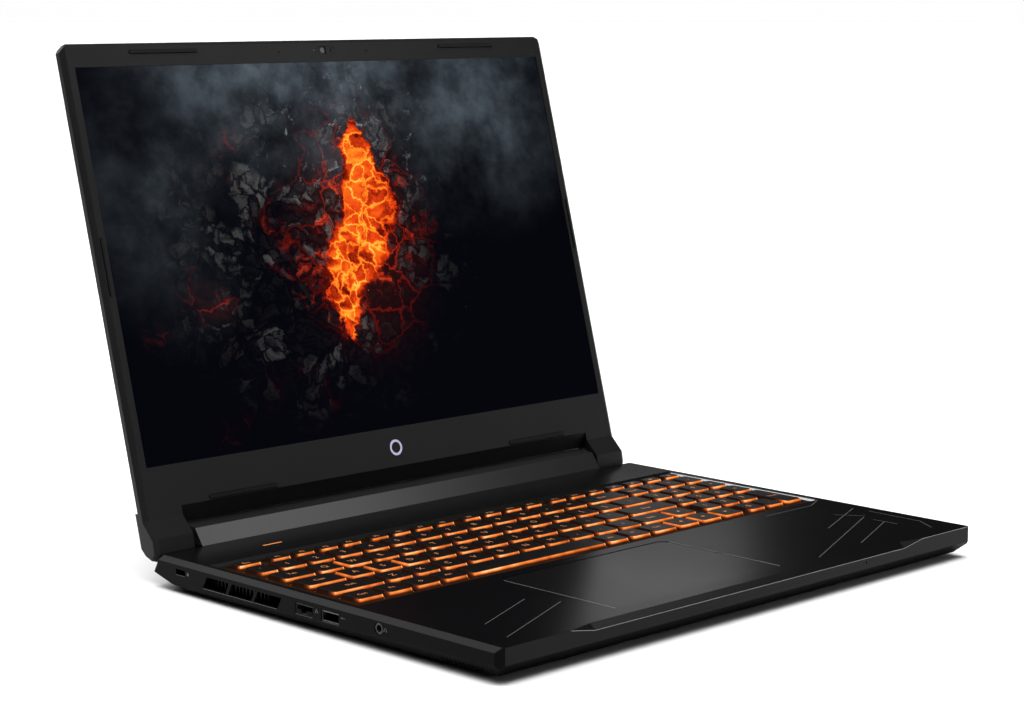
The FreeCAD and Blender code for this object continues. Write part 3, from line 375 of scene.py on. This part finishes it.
BOARD = circuit_board("board_green", (0.006, 0.05, 0.022))
LIT_SHEET = glow("backlight_sheet_lit", (0.9, 0.22, 0.02), (1.0, 0.42, 0.08), 1.2)
LEGEND = glow("key_legend_lit", (0.55, 0.12, 0.03), (0.80, 0.26, 0.08), 0.42)
STATUS = glow("status_light_lit", (0.9, 0.16, 0.02), (1.0, 0.30, 0.05), 0.8)
SKIRT = key_skirt()
WEB = web_plastic()
PICTURE = screen_picture()
PRINT = plastic("printed_grey", (0.10, 0.10, 0.10), 0.6, depth=0.004 * MM, edge=0.02 * MM, specular=0.2)
# pale grey in the palm rest's engraved lines, and a painted highlight on the lower lips of the left wall's
# openings
GROOVE_GREY_AND_LIP_HIGHLIGHT = plastic("groove_grey_and_lip_highlight", (0.075, 0.075, 0.078), 0.42, depth=0.004 * MM, edge=0.02 * MM, specular=0.3)
# painted highlight: pale grey for light caught on the cut edges beside the touchpad and along the front edge
EDGE_HIGHLIGHT = plastic("painted_edge_highlight", (0.17, 0.17, 0.175), 0.4, depth=0.004 * MM, edge=0.02 * MM)
RIM = metal("well_trim_polished", (0.32, 0.32, 0.33), 0.3, edge=0.02 * MM)
STRIP = plastic("bezel_strip_rubber", (0.007, 0.007, 0.0072), 0.5, grain=0.3 * MM, depth=0.02 * MM,
                specular=0.1)
SEAM = plastic("seam_shadow", (0.0006, 0.0006, 0.0006), 0.7, depth=0.004 * MM, edge=0.02 * MM,
               specular=0.02)
LENS = plastic("lens_glass_dark", (0.004, 0.005, 0.010), 0.08, depth=0.0)

NODE_MATERIALS = {
    DECK: ["top_case"],
    TOUCHPAD: ["touchpad"],
    BASE: ["bottom_cover", "rear_exhaust_frame", "fan_housing_left", "fan_housing_right", "speakers"],
    HINGE_BAR: ["hinge_cover"],
    LID: ["lid_back_cover"],
    BEZEL: ["screen_bezel", "camera_shutter"],
    LENS: ["camera_module"],
    SOCKET: ["network_socket", "audio_jack", "power_inlet"],
    FAN: ["fan_rotor_left", "fan_rotor_right"],
    BATTERY: ["battery"],
    SILICON: ["processor_chips"],
    STEEL: ["keyboard_plate", "bottom_screws"],
    DARK_STEEL: ["hinge_arm_left", "hinge_arm_right", "hinge_mount_left", "hinge_mount_right"],
    SHELL_METAL: ["usb_a_sockets", "usb_c_socket", "video_socket"],
    COPPER: ["heat_pipes"],
    FINS: ["cooling_fins"],
    RING: ["lid_badge"],
    RUBBER: ["rubber_feet"],
    STRIP: ["lid_bumpers"],
    BOARD: ["mainboard", "memory_modules", "solid_state_drive", "wireless_card", "wireless_antennas"],
    LIT_SHEET: ["backlight_sheet"],
    STATUS: ["status_light"],
    WEB: ["key_frame"],
    PICTURE: ["display_panel"],
}


def paint_nodes():
    for material, names in NODE_MATERIALS.items():
        for name in names:
            mesh = frame["nodes"][name].data
            mesh.materials.clear()
            mesh.materials.append(material)


# ---- mesh helpers ------------------------------------------------------------------------
def new_piece(name, mesh, body, materials):
    """Put a finished mesh into the scene, riding on a body."""
    piece = bpy.data.objects.new(name, mesh)
    bpy.context.scene.collection.objects.link(piece)
    for material in materials:
        mesh.materials.append(material)
    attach(piece, body)
    return piece


CORNER_STEPS = 4               # straight pieces in each rounded corner


def rounded_corners(x0, x1, y0, y1, radius):
    """Points of a rectangle with rounded corners, anticlockwise from the front right."""
    points = []
    centres = [(x1 - radius, y0 + radius, -90), (x1 - radius, y1 - radius, 0),
               (x0 + radius, y1 - radius, 90), (x0 + radius, y0 + radius, 180)]
    for cx, cy, start in centres:
        for i in range(CORNER_STEPS + 1):
            angle = math.radians(start + 90.0 * i / CORNER_STEPS)
            points.append((cx + radius * math.cos(angle), cy + radius * math.sin(angle)))
    return points


def cap_boxes(node):
    """Box of each keycap in a CAD node, from the back row to the front and from left to right."""
    work = bmesh.new()
    work.from_mesh(frame["nodes"][node].data)
    bmesh.ops.remove_doubles(work, verts=work.verts, dist=1e-6)
    unseen = set(work.verts)
    boxes = []
    while unseen:
        island = [unseen.pop()]
        for vertex in island:
            for edge in vertex.link_edges:
                other = edge.other_vert(vertex)
                if other in unseen:
                    unseen.discard(other)
                    island.append(other)
        low = Vector([min(v.co[i] for v in island) for i in range(3)])
        high = Vector([max(v.co[i] for v in island) for i in range(3)])
        boxes.append((low, high))
    work.free()
    boxes.sort(key=lambda b: (-round(b[1].y / MM), b[0].x))
    return boxes


CAP_DISH = 0.16 * MM
# each level of a cap: how far in from its foot, and how far below its top, mm
CAP_BANDS = [(0.0, 3.0), (0.42, 1.95), (0.68, 1.3), (1.0, 0.5), (1.13, 0.17), (1.22, 0.04), (1.5, 0.0)]
SKIRT_BANDS = 4                # this many bands up from the foot are lit
SKIRT_LEVELS = [0.02, 0.12, 0.62, 1.0, 0.5]
CAP_CORNER = 1.9 * MM
CAP_INNER = [0.35, 0.6, 0.8]   # inner loops, as shares of the way to the middle
SIDE_SHARES = [0.12, 0.3, 0.5, 0.7, 0.88]
SIDE_REACH = 1.6               # points this near a side, in mm, belong to that side's face
CORNER_HIGHLIGHT_SPOT = 1.2               # the painted highlight spot by the front right corner is this far from both sides, mm
CORNER_HIGHLIGHT_RADIUS = 0.9
CORNER_HIGHLIGHT_LEVEL = 1.2
# painted glow at the start of a side, and how much of it is lost by the side's far end; only the front and
# left sides are painted bright
FRONT_HEAT = (1.08, 0.5)
LEFT_HEAT = (0.95, 3.0)
BRIGHT_LEFT_HEAT = (0.8, 0.2)
BRIGHT_BACK_HEAT = 0.6         # right and back sides of the keys with bright sides
INNER_CORNER = 0.6             # the inner loops' corners are this much tighter


def dish(low, high, x, y):
    """How far the hollow of a cap's top goes down at a point: the same all along a long key."""
    half = min(high.x - low.x, high.y - low.y) / 2
    border = min(x - low.x, high.x - x, y - low.y, high.y - y)
    share = min(1.0, max(0.0, border / half))
    return CAP_DISH * (1 - (1 - share) ** 2)


def cap_outline(x0, x1, y0, y1, radius):
    """Rounded rectangle with extra points along its sides."""
    corners = rounded_corners(x0, x1, y0, y1, radius)
    points = []
    for i, point in enumerate(corners):
        points.append(point)
        after = corners[(i + 1) % len(corners)]
        if i % (CORNER_STEPS + 1) == CORNER_STEPS:
            points += [tuple(a + (b - a) * share for a, b in zip(point, after)) for share in SIDE_SHARES]
    return points


def painted_skirt_glow(low, high, x, y, bright_sides):
    """How brightly the skirt glows at a point, before its height is counted: a painted glow, most at the
    front left, none on the right and back of most keys, and a painted highlight spot by the front right
    corner.
    """
    along = (x - low.x) / (high.x - low.x)
    back = (y - low.y) / (high.y - low.y)
    from_left = (x - low.x) / MM
    from_right = (high.x - x) / MM
    # painted highlight spot by the front right corner
    if math.hypot(from_right - CORNER_HIGHLIGHT_SPOT, (y - low.y) / MM - CORNER_HIGHLIGHT_SPOT) < CORNER_HIGHLIGHT_RADIUS:
        return CORNER_HIGHLIGHT_LEVEL
    if from_left < SIDE_REACH and back > 0.1:
        start, loss = BRIGHT_LEFT_HEAT if bright_sides else LEFT_HEAT
        return max(0.0, start - loss * back)
    # the right and back sides of most keys get no painted glow
    if from_right < SIDE_REACH or back > 0.8:
        return BRIGHT_BACK_HEAT if bright_sides else 0.0
    return FRONT_HEAT[0] - FRONT_HEAT[1] * along


def add_cap(work, low, high, level, bright_sides):
    """Keycap with a leaning lit skirt, a rounded rim and a slightly hollow top."""
    rim_low = Vector((low.x + CAP_BANDS[-2][0] * MM, low.y + CAP_BANDS[-2][0] * MM, 0.0))
    rim_high = Vector((high.x - CAP_BANDS[-2][0] * MM, high.y - CAP_BANDS[-2][0] * MM, 0.0))
    loops = []
    for i, (inset, drop) in enumerate(CAP_BANDS):
        inset = inset * MM
        z = max(low.z, high.z - drop * MM)
        radius = CAP_CORNER - inset * 0.3
        points = cap_outline(low.x + inset, high.x - inset, low.y + inset, high.y - inset, radius)
        sunk = 1 if i > SKIRT_BANDS else 0
        loops.append([work.verts.new((x, y, z - dish(rim_low, rim_high, x, y) * sunk)) for x, y in points])
    half = min(high.x - low.x, high.y - low.y) / 2 - CAP_BANDS[-1][0] * MM
    for share in CAP_INNER:
        shrink = CAP_BANDS[-1][0] * MM + share * half
        radius = CAP_CORNER * (1 - share) * INNER_CORNER
        points = cap_outline(low.x + shrink, high.x - shrink, low.y + shrink, high.y - shrink, radius)
        loops.append([work.verts.new((x, y, high.z - dish(rim_low, rim_high, x, y))) for x, y in points])
    count = len(loops[0])
    for i, loop in enumerate(loops[:SKIRT_BANDS + 1]):
        for vertex in loop:
            vertex[level] = painted_skirt_glow(low, high, vertex.co.x, vertex.co.y, bright_sides) * SKIRT_LEVELS[i]
    for i, (lower, upper) in enumerate(zip(loops, loops[1:])):
        for j in range(count):
            k = (j + 1) % count
            face = work.faces.new((lower[j], lower[k], upper[k], upper[j]))
            face.smooth = True
            face.material_index = 1 if i < SKIRT_BANDS else 0
    top = work.faces.new(loops[-1])
    top.smooth = True
    bottom = work.faces.new(loops[0][::-1])
    bottom.material_index = 1


def arrow_outline(size, turn):
    """Small solid triangle that points along the turned +Y axis."""
    points = []
    for x, y in ((-0.5, -0.35), (0.5, -0.35), (0.0, 0.5)):
        angle = math.radians(turn)
        points.append((size * (x * math.cos(angle) - y * math.sin(angle)),
                       size * (x * math.sin(angle) + y * math.cos(angle))))
    return points


ARROWS = {"<up>": 0.0, "<left>": 90.0, "<down>": 180.0, "<right>": 270.0}
LEGEND_THICK = 0.03 * MM


def words_mesh(words, size):
    """Thin raised letters, centred on the origin."""
    curve = bpy.data.curves.new("words", "FONT")
    curve.body = words
    curve.size = size
    curve.align_x = "CENTER"
    curve.align_y = "CENTER"
    curve.resolution_u = 3
    curve.extrude = LEGEND_THICK
    holder = bpy.data.objects.new("words", curve)
    bpy.context.scene.collection.objects.link(holder)
    bpy.context.view_layer.update()
    mesh = bpy.data.meshes.new_from_object(holder.evaluated_get(bpy.context.evaluated_depsgraph_get()))
    bpy.data.objects.remove(holder)
    bpy.data.curves.remove(curve)
    return mesh


def join_outlines(work, near, far):
    """Solid between two outlines with equally many vertices."""
    work.faces.new(near[::-1])
    work.faces.new(far)
    for i in range(len(near)):
        j = (i + 1) % len(near)
        work.faces.new((near[i], near[j], far[j], far[i]))


def join_loops(work, loops):
    """Closed tube through a ring of loops, each with equally many vertices."""
    for lower, upper in zip(loops, loops[1:] + loops[:1]):
        for i in range(len(lower)):
            j = (i + 1) % len(lower)
            work.faces.new((lower[i], lower[j], upper[j], upper[i]))


def add_prism(work, points, z0, z1):
    """Upright prism over an anticlockwise outline."""
    low = [work.verts.new((x, y, z0)) for x, y in points]
    high = [work.verts.new((x, y, z1)) for x, y in points]
    join_outlines(work, low, high)


def add_legend(work, words, low, high, size):
    """Legend on a cap's top, following its hollow."""
    middle = (low + high) / 2
    if words in ARROWS:
        points = [(middle.x + x, middle.y + y) for x, y in arrow_outline(size * 0.8, ARROWS[words])]
        z = high.z - dish(low, high, middle.x, middle.y)
        add_prism(work, points, z - LEGEND_THICK, z + LEGEND_THICK)
        return
    mesh = words_mesh(words, size)
    start = len(work.verts)
    work.from_mesh(mesh)
    work.verts.ensure_lookup_table()
    bpy.data.meshes.remove(mesh)
    for vertex in work.verts[start:]:
        x, y, z = vertex.co
        x += middle.x
        y += middle.y
        vertex.co = (x, y, high.z + z - dish(low, high, x, y))


LEGENDS = {
    "escape_key": "Esc",
    "function_row_keys": "F1 F2 F3 F4 F5 F6 F7 F8 F9 F10 F11 F12 Prt Ins Del <left> <up> <right>",
    "power_key": "o",
    "number_row_keys": "` 1 2 3 4 5 6 7 8 9 0 - = Back",
    "upper_letter_keys": "Tab Q W E R T Y U I O P [ ] \\",
    "home_letter_keys": "Caps A S D F G H J K L ; '",
    "enter_key": "Enter",
    "left_shift_key": "Shift",
    "lower_letter_keys": "Z X C V B N M , . /",
    "right_shift_key": "Shift",
    "bottom_row_keys": "Ctrl Fn o Alt Alt = Ctrl",
    "space_bar": "",
    "arrow_left_key": "<left>",
    "arrow_down_key": "<down>",
    "arrow_right_key": "<right>",
    "arrow_up_key": "<up>",
    "number_pad_keys": "Num / * - 7 8 9 + 4 5 6 = 1 2 3 0 .",
    "number_pad_enter_key": "Enter",
}
GAME_KEYS = {"W", "A", "S", "D"}   # these and the arrow keys glow on all sides
LETTER_SIZE = 5.2 * MM
WORD_SIZE = 3.5 * MM


def make_keys():
    for node, text in LEGENDS.items():
        words = text.split()
        boxes = cap_boxes(node)
        caps = bmesh.new()
        level = caps.verts.layers.float.new("glow")
        legends = bmesh.new()
        for i, (low, high) in enumerate(boxes):
            word = words[i] if i < len(words) else ""
            bright_sides = node.startswith("arrow") or word in GAME_KEYS
            add_cap(caps, low, high, level, bright_sides)
            if word:
                add_legend(legends, word, low, high, LETTER_SIZE if len(word) == 1 else WORD_SIZE)
        mesh = bpy.data.meshes.new(node + "_caps")
        caps.to_mesh(mesh)
        caps.free()
        piece = new_piece(node + "_caps", mesh, node, [KEY_TOP, SKIRT])
        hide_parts(node)
        if words:
            mesh = bpy.data.meshes.new(node + "_legends")
            legends.to_mesh(mesh)
            new_piece(node + "_legends", mesh, node, [LEGEND])
        legends.free()


# ---- fine lines and marks ----------------------------------------------------------------
DECK_LINES = ((-155.2, 36.0, -109.1, 56.5), (-163.9, 12.6, -100.0, 40.9), (118.9, 51.0, 169.6, 73.2),
              (60.8, 11.5, 155.0, 54.5), (103.4, 16.8, 153.8, 39.4), (148.1, 70.3, 158.4, 56.0),
              (170.1, 62.6, 169.2, 26.6), (169.2, 26.6, 160.6, 12.6), (153.9, 47.2, 154.5, 30.8),
              (172.5, 101.0, 158.0, 94.2), (158.0, 94.2, 118.9, 94.6))   # ends of each engraved line, mm
LINE_HALF = 0.17 * MM
LINE_DEPTH = 0.14 * MM
JUST_UNDER = 0.006 * MM        # how far an inlay stays below the surface round it
PAD_BEVEL = 4.0 * MM
PAD_CORNER = 1.0 * MM
RIM_GAP = (0.05, 0.30)         # the painted highlights on the touchpad's cut edges, this far outside it, mm
RIM_DROP = 0.28 * MM
TRIM_TOP = 0.9                 # the well's trims start this far in from the well's upper edge, mm
FRONT_EDGE = ((-135.0, 0.0), (-119.0, -2.72), (119.0, -2.72), (135.0, 0.0), (176.5, 0.0))   # (x, z), mm
FRONT_LINE = 0.26              # height of the painted highlight line, mm
FRONT_OUT, FRONT_IN = -0.015, 0.05   # the line's face and back, from the front of the base, mm
WELL_HALF = 175.3              # upper edge of the keyboard well's side slopes, mm
WELL_ENDS = (102.0, 218.0)     # front and back of the well, from the front edge, mm
SLOPE_RUN = 2.3                # width of a side slope, mm
SLOPE_DROP = 1.6               # and how far it goes down, mm
TRIM_SETBACK = (1.5, 2.5)      # the trims stop this far from the well's front and back ends, mm
TRIM_HALF = 0.03               # half the trims' thickness, mm
SIDE_X = 180.6                 # outside of the side walls, mm
PLATE_DEPTH = 0.03             # the marks on the left wall reach this far into it, mm
PLATE_PROUD = 0.004            # and stand this far out of it, mm
DISC_SIDES = 12
ARC_STEPS = 8


def deck_point(x, y, z=0.0):
    """Place of a point in mm: x from the middle, y from the front edge, z from the palm rest."""
    return Vector((x * MM, y * MM + cad_box[0].y, DECK_Z + z * MM))


def finish_piece(work, name, body, material):
    bmesh.ops.recalc_face_normals(work, faces=work.faces)
    mesh = bpy.data.meshes.new(name)
    work.to_mesh(mesh)
    work.free()
    return new_piece(name, mesh, body, [material])


def make_deck_lines():
    """Pale inlays in the engraved lines of the palm rest."""
    work = bmesh.new()
    for x0, y0, x1, y1 in DECK_LINES:
        start, end = deck_point(x0, y0), deck_point(x1, y1)
        along = (end - start).normalized()
        start += along * LINE_HALF
        end -= along * LINE_HALF
        across = Vector((-along.y, along.x, 0.0)) * LINE_HALF
        outline = [(p.x, p.y) for p in (start - across, end - across, end + across, start + across)]
        add_prism(work, outline, DECK_Z - LINE_DEPTH, DECK_Z - JUST_UNDER)
    finish_piece(work, "palm_rest_lines", "base", GROOVE_GREY_AND_LIP_HIGHLIGHT)


def make_touchpad_rim():
    """Painted highlights on the cut edges along both sides of the touchpad, in the gap beside it: pale grey
    strips standing for light caught by the edges.
    """
    low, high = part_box("touchpad")
    work = bmesh.new()
    for edge, side in ((low.x, -1), (high.x, 1)):
        x0, x1 = sorted((edge + side * RIM_GAP[0] * MM, edge + side * RIM_GAP[1] * MM))
        y0, y1 = low.y + PAD_CORNER, high.y - PAD_BEVEL
        add_prism(work, [(x0, y0), (x1, y0), (x1, y1), (x0, y1)], DECK_Z - RIM_DROP, DECK_Z - JUST_UNDER)
    finish_piece(work, "touchpad_edge_highlights", "base", EDGE_HIGHLIGHT)


def make_front_edge():
    """Thin painted highlight line where the front wall meets the deck and the finger notch."""
    work = bmesh.new()
    for (x0, z0), (x1, z1) in zip(FRONT_EDGE, FRONT_EDGE[1:]):
        corners = []
        for y in (FRONT_OUT, FRONT_IN):
            for x, z in ((x0, z0), (x1, z1), (x1, z1 - FRONT_LINE), (x0, z0 - FRONT_LINE)):
                corners.append(work.verts.new(deck_point(x, y, z)))
        join_outlines(work, corners[:4], corners[4:])
    finish_piece(work, "front_edge_highlight", "base", EDGE_HIGHLIGHT)


def make_well_trims():
    """Polished strips on the side slopes of the keyboard well."""
    work = bmesh.new()
    for side in (-1, 1):
        foot = SLOPE_RUN - 0.1
        section = [(WELL_HALF - run, -run * SLOPE_DROP / SLOPE_RUN) for run in (TRIM_TOP, foot)]
        corners = []
        for y in (WELL_ENDS[0] + TRIM_SETBACK[0], WELL_ENDS[1] - TRIM_SETBACK[1]):
            for x, z in section:
                corners.append(work.verts.new(deck_point(side * x, y, z + TRIM_HALF)))
            for x, z in reversed(section):
                corners.append(work.verts.new(deck_point(side * x, y, z - TRIM_HALF)))
        join_outlines(work, corners[:4], corners[4:])
    finish_piece(work, "keyboard_well_trims", "base", RIM)


def add_side_plate(work, points):
    """Thin plate on the left wall; its outline is in mm, as (y from the front, z from the palm rest)."""
    inner = [work.verts.new(deck_point(PLATE_DEPTH - SIDE_X, y, z)) for y, z in points]
    outer = [work.verts.new(deck_point(-PLATE_PROUD - SIDE_X, y, z)) for y, z in points]
    join_outlines(work, inner, outer)


def add_side_bar(work, start, end, half):
    """Straight bar on the left wall between two points."""
    (y0, z0), (y1, z1) = start, end
    length = math.hypot(y1 - y0, z1 - z0)
    dy, dz = -(z1 - z0) / length * half, (y1 - y0) / length * half
    add_side_plate(work, [(y0 - dy, z0 - dz), (y1 - dy, z1 - dz), (y1 + dy, z1 + dz), (y0 + dy, z0 + dz)])


def add_side_disc(work, y, z, radius):
    turns = [2 * math.pi * i / DISC_SIDES for i in range(DISC_SIDES)]
    add_side_plate(work, [(y + radius * math.cos(a), z + radius * math.sin(a)) for a in turns])


def add_side_arch(work, y, z, radius, half):
    """Upper half of a circle, drawn with short bars."""
    turns = [math.pi * i / ARC_STEPS for i in range(ARC_STEPS + 1)]
    points = [(y + radius * math.cos(a), z + radius * math.sin(a)) for a in turns]
    for start, end in zip(points, points[1:]):
        add_side_bar(work, start, end, half)


# middle of each sign on the left wall, as (y, z) in mm
LOCK_SIGN = (229.6, -5.9)
NETWORK_SIGN = (126.8, -6.1)
USB_SIGN = (107.0, -6.1)
HEADSET_SIGN = (76.8, -6.1)
STROKE = 0.13                  # half the width of a sign's lines, mm


def make_port_icons():
    """Plain signs beside the sockets: a padlock, joined boxes, a plug line and a headset."""
    work = bmesh.new()
    y, z = LOCK_SIGN
    add_side_plate(work, [(y - 0.75, z - 0.9), (y + 0.75, z - 0.9), (y + 0.75, z + 0.1), (y - 0.75, z + 0.1)])
    add_side_arch(work, y, z + 0.2, 0.5, STROKE)
    y, z = NETWORK_SIGN
    square = [(-0.35, -0.3), (0.35, -0.3), (0.35, 0.3), (-0.35, 0.3)]
    for dy, dz in ((0.0, 0.65), (-0.8, -0.65), (0.8, -0.65)):
        add_side_plate(work, [(y + dy + a, z + dz + b) for a, b in square])
    add_side_bar(work, (y, z + 0.35), (y, z), STROKE / 2)
    add_side_bar(work, (y - 0.8, z), (y + 0.8, z), STROKE / 2)
    add_side_bar(work, (y - 0.8, z), (y - 0.8, z - 0.35), STROKE / 2)
    add_side_bar(work, (y + 0.8, z), (y + 0.8, z - 0.35), STROKE / 2)
    y, z = USB_SIGN
    add_side_bar(work, (y - 1.3, z), (y + 1.0, z), STROKE)
    add_side_disc(work, y + 1.2, z, 0.38)
    y, z = HEADSET_SIGN
    add_side_arch(work, y, z - 0.1, 0.85, STROKE)
    for dy in (-0.85, 0.85):
        add_side_bar(work, (y + dy, z - 0.15), (y + dy, z - 0.8), STROKE * 1.8)
    finish_piece(work, "port_icons", "base", PRINT)


# painted highlights on the lower lips of the lock slot, the vents and the two sockets: both ends as (y, z),
# and half width, mm
LIPS = (((232.2, -7.62), (239.4, -7.62), 0.1), ((157.6, -10.74), (216.6, -11.1), 0.12),
        ((110.6, -10.22), (123.1, -10.22), 0.1), ((130.1, -10.22), (142.7, -10.22), 0.1))


def make_opening_lips():
    """Painted highlights on the lower lips of the openings in the left wall."""
    work = bmesh.new()
    for start, end, half in LIPS:
        add_side_bar(work, start, end, half)
    finish_piece(work, "left_wall_lips", "base", GROOVE_GREY_AND_LIP_HIGHLIGHT)


NETWORK_STEPS = ((130.3, 134.2), (138.2, 142.5))   # ends of each step, mm
NETWORK_STEP_Z = (-9.9, -7.5)  # foot and top of the steps, mm


def make_network_steps():
    """Steps in the lower corners of the network opening, which make its mouth a T."""
    work = bmesh.new()
    z0, z1 = NETWORK_STEP_Z
    for y0, y1 in NETWORK_STEPS:
        add_side_plate(work, [(y0, z0), (y1, z0), (y1, z1), (y0, z1)])
    finish_piece(work, "network_port_steps", "base", DECK)


def lid_point(x, v, w):
    """Place on the leaning lid in mm: x across, v up from the hinge axis, w out of the bezel side."""
    up, out, axis = lid_directions()
    return axis + Vector((x * MM, 0.0, 0.0)) + up * (v * MM) + out * (w * MM)


# soft strips of the bezel's right half, in mm: x from and to, then v from and to
STRIPS = ((90.5, 136.0, 261.1, 262.7), (89.0, 135.5, 17.0, 19.0), (174.6, 175.6, 131.0, 162.0))
SEAM_GROWTH = (0.02, 0.34)     # inner and outer edge of a seam, outside its strip, mm
SEAM_HALF = 0.02               # half the seam's thickness, mm


def make_strip_seams():
    """Dark line round each soft strip of the bezel."""
    work = bmesh.new()
    face = BEZEL_FACE / MM
    for side in (-1, 1):
        for x0, x1, v0, v1 in STRIPS:
            rings = []
            for grow in SEAM_GROWTH:
                radius = min(x1 - x0, v1 - v0) / 2 + grow
                rings.append(rounded_corners(x0 - grow, x1 + grow, v0 - grow, v1 + grow, radius))
            loops = []
            for ring, side_w in ((0, -SEAM_HALF), (0, SEAM_HALF), (1, SEAM_HALF), (1, -SEAM_HALF)):
                points = [lid_point(side * x, v, face + side_w) for x, v in rings[ring]]
                loops.append([work.verts.new(point) for point in points])
            join_loops(work, loops)
    finish_piece(work, "bezel_strip_seams", "lid", SEAM)


# ---- stage -------------------------------------------------------------------------------
CAMERA_PLACE = (-0.89842, -0.91085, 0.30377)
CAMERA_DIP = 8.509             # degrees below level
CAMERA_TURN = -44.413          # degrees from the +Y axis, anticlockwise from above
CAMERA_LENS = 84.06            # focal length in mm, on a sensor 36 mm wide


def make_camera():
    data = bpy.data.cameras.new("camera")
    data.lens = CAMERA_LENS
    data.sensor_width = 36.0
    data.clip_end = 200.0
    camera = bpy.data.objects.new("camera", data)
    camera.location = CAMERA_PLACE
    camera.rotation_euler = Euler((math.radians(90 - CAMERA_DIP), 0.0, math.radians(CAMERA_TURN)))
    bpy.context.scene.collection.objects.link(camera)
    bpy.context.scene.camera = camera


def soft_light(name, place, target, width, height, radiance):
    data = bpy.data.lights.new(name, "AREA")
    data.shape = "RECTANGLE"
    data.size = width
    data.size_y = height
    data.energy = radiance * math.pi * width * height   # an even panel gives this radiance
    light = bpy.data.objects.new(name, data)
    light.location = place
    light.rotation_euler = (Vector(target) - Vector(place)).to_track_quat("-Z", "Y").to_euler()
    light.visible_camera = False
    bpy.context.scene.collection.objects.link(light)


# brightness of the dome from the horizon to straight overhead, as (height, grey)
DOME = [(0.0, 0.0), (0.3, 0.002), (0.6, 0.006), (0.78, 0.03), (0.88, 0.5), (0.93, 1.0)]
DOME_STRENGTH = 6.5


def make_world():
    """Dome that is dark at the horizon and bright overhead, like a studio ceiling."""
    world = bpy.data.worlds.new("studio")
    bpy.context.scene.world = world
    world.use_nodes = True
    tree = world.node_tree
    tree.nodes.clear()
    coordinates = tree.nodes.new("ShaderNodeTexCoord")
    parts = tree.nodes.new("ShaderNodeSeparateXYZ")
    ramp = tree.nodes.new("ShaderNodeValToRGB")
    background = tree.nodes.new("ShaderNodeBackground")
    out = tree.nodes.new("ShaderNodeOutputWorld")
    while len(ramp.color_ramp.elements) < len(DOME):
        ramp.color_ramp.elements.new(0.5)
    for element, (position, grey) in zip(ramp.color_ramp.elements, DOME):
        element.position = position
        element.color = (grey, grey, grey, 1.0)
    background.inputs["Strength"].default_value = DOME_STRENGTH
    tree.links.new(coordinates.outputs["Generated"], parts.inputs[0])
    tree.links.new(parts.outputs["Z"], ramp.inputs["Fac"])
    tree.links.new(ramp.outputs["Color"], background.inputs["Color"])
    tree.links.new(background.outputs[0], out.inputs["Surface"])


def stage_mesh(name, points, faces, material):
    mesh = bpy.data.meshes.new(name)
    mesh.from_pydata(points, [], faces)
    mesh.materials.append(material)
    thing = bpy.data.objects.new(name, mesh)
    bpy.context.scene.collection.objects.link(thing)
    return thing


# soft panels: name, place, the point it faces, width, height and radiance
LIGHTS = (
    ("deck_glow", (0.77, 0.65, 0.35), (-0.05, -0.13, 0.017), 0.26, 0.19, 1.15),
    ("edge_glow", (0.37, 1.22, 1.31), (0.175, -0.02, 0.017), 0.5, 0.4, 3.4),
    ("hinge_glow", (0.33, -0.27, 0.56), (-0.15, 0.09, 0.02), 0.28, 0.3, 2.2),
    ("back_glow", (-0.45, 1.25, 1.2), (0.0, 0.0, 0.02), 1.6, 0.8, 3.2),
    ("front_fill", (0.9, -1.2, 0.35), (0.0, 0.1, 0.15), 1.2, 0.5, 1.1),
)
FLOOR_REACH = 30.0
FLOOR_DROP = 0.0002            # the floor lies this far under the feet
WALL_RADIUS = 28.0
WALL_LEVELS = (-1.0, 25.0)
WALL_SIDES = 48


def make_stage():
    """Wide pale floor, and a pale wall far off that only the camera sees."""
    r = Recipe("floor_paper")
    tone = r.mix(r.noise(3.0, 3.0), (0.80, 0.80, 0.80), (0.83, 0.83, 0.83))
    paper = r.surface(Base_Color=tone, Roughness=1.0, Specular_IOR_Level=0.0)
    reach = FLOOR_REACH
    z = -FLOOR_DROP
    corners = [(-reach, -reach, z), (reach, -reach, z), (reach, reach, z), (-reach, reach, z)]
    stage_mesh("floor", corners, [(0, 1, 2, 3)], paper)
    r = Recipe("wall_paper")
    tone = r.mix(r.noise(0.5, 2.0), (0.99, 0.99, 0.99), (1.0, 1.0, 1.0))
    wall_paint = r.surface(Base_Color=(0.0, 0.0, 0.0), Roughness=1.0, Specular_IOR_Level=0.0,
                           Emission_Color=tone, Emission_Strength=1.0)
    sides = WALL_SIDES
    points = []
    for level in WALL_LEVELS:
        for i in range(sides):
            angle = 2 * math.pi * i / sides
            points.append((WALL_RADIUS * math.cos(angle), WALL_RADIUS * math.sin(angle), level))
    faces = [(i, (i + 1) % sides, sides + (i + 1) % sides, sides + i) for i in range(sides)]
    wall = stage_mesh("wall", points, faces, wall_paint)
    wall.visible_glossy = False
    wall.visible_diffuse = False
    wall.visible_shadow = False
    wall.visible_transmission = False


make_camera()
make_world()
for name, place, target, width, height, radiance in LIGHTS:
    soft_light(name, place, target, width, height, radiance)
make_stage()
paint_nodes()
make_keys()
make_deck_lines()
make_touchpad_rim()
make_front_edge()
make_well_trims()
make_port_icons()
make_network_steps()
make_opening_lips()
make_strip_seams()
bpy.context.scene.view_settings.view_transform = "Standard"
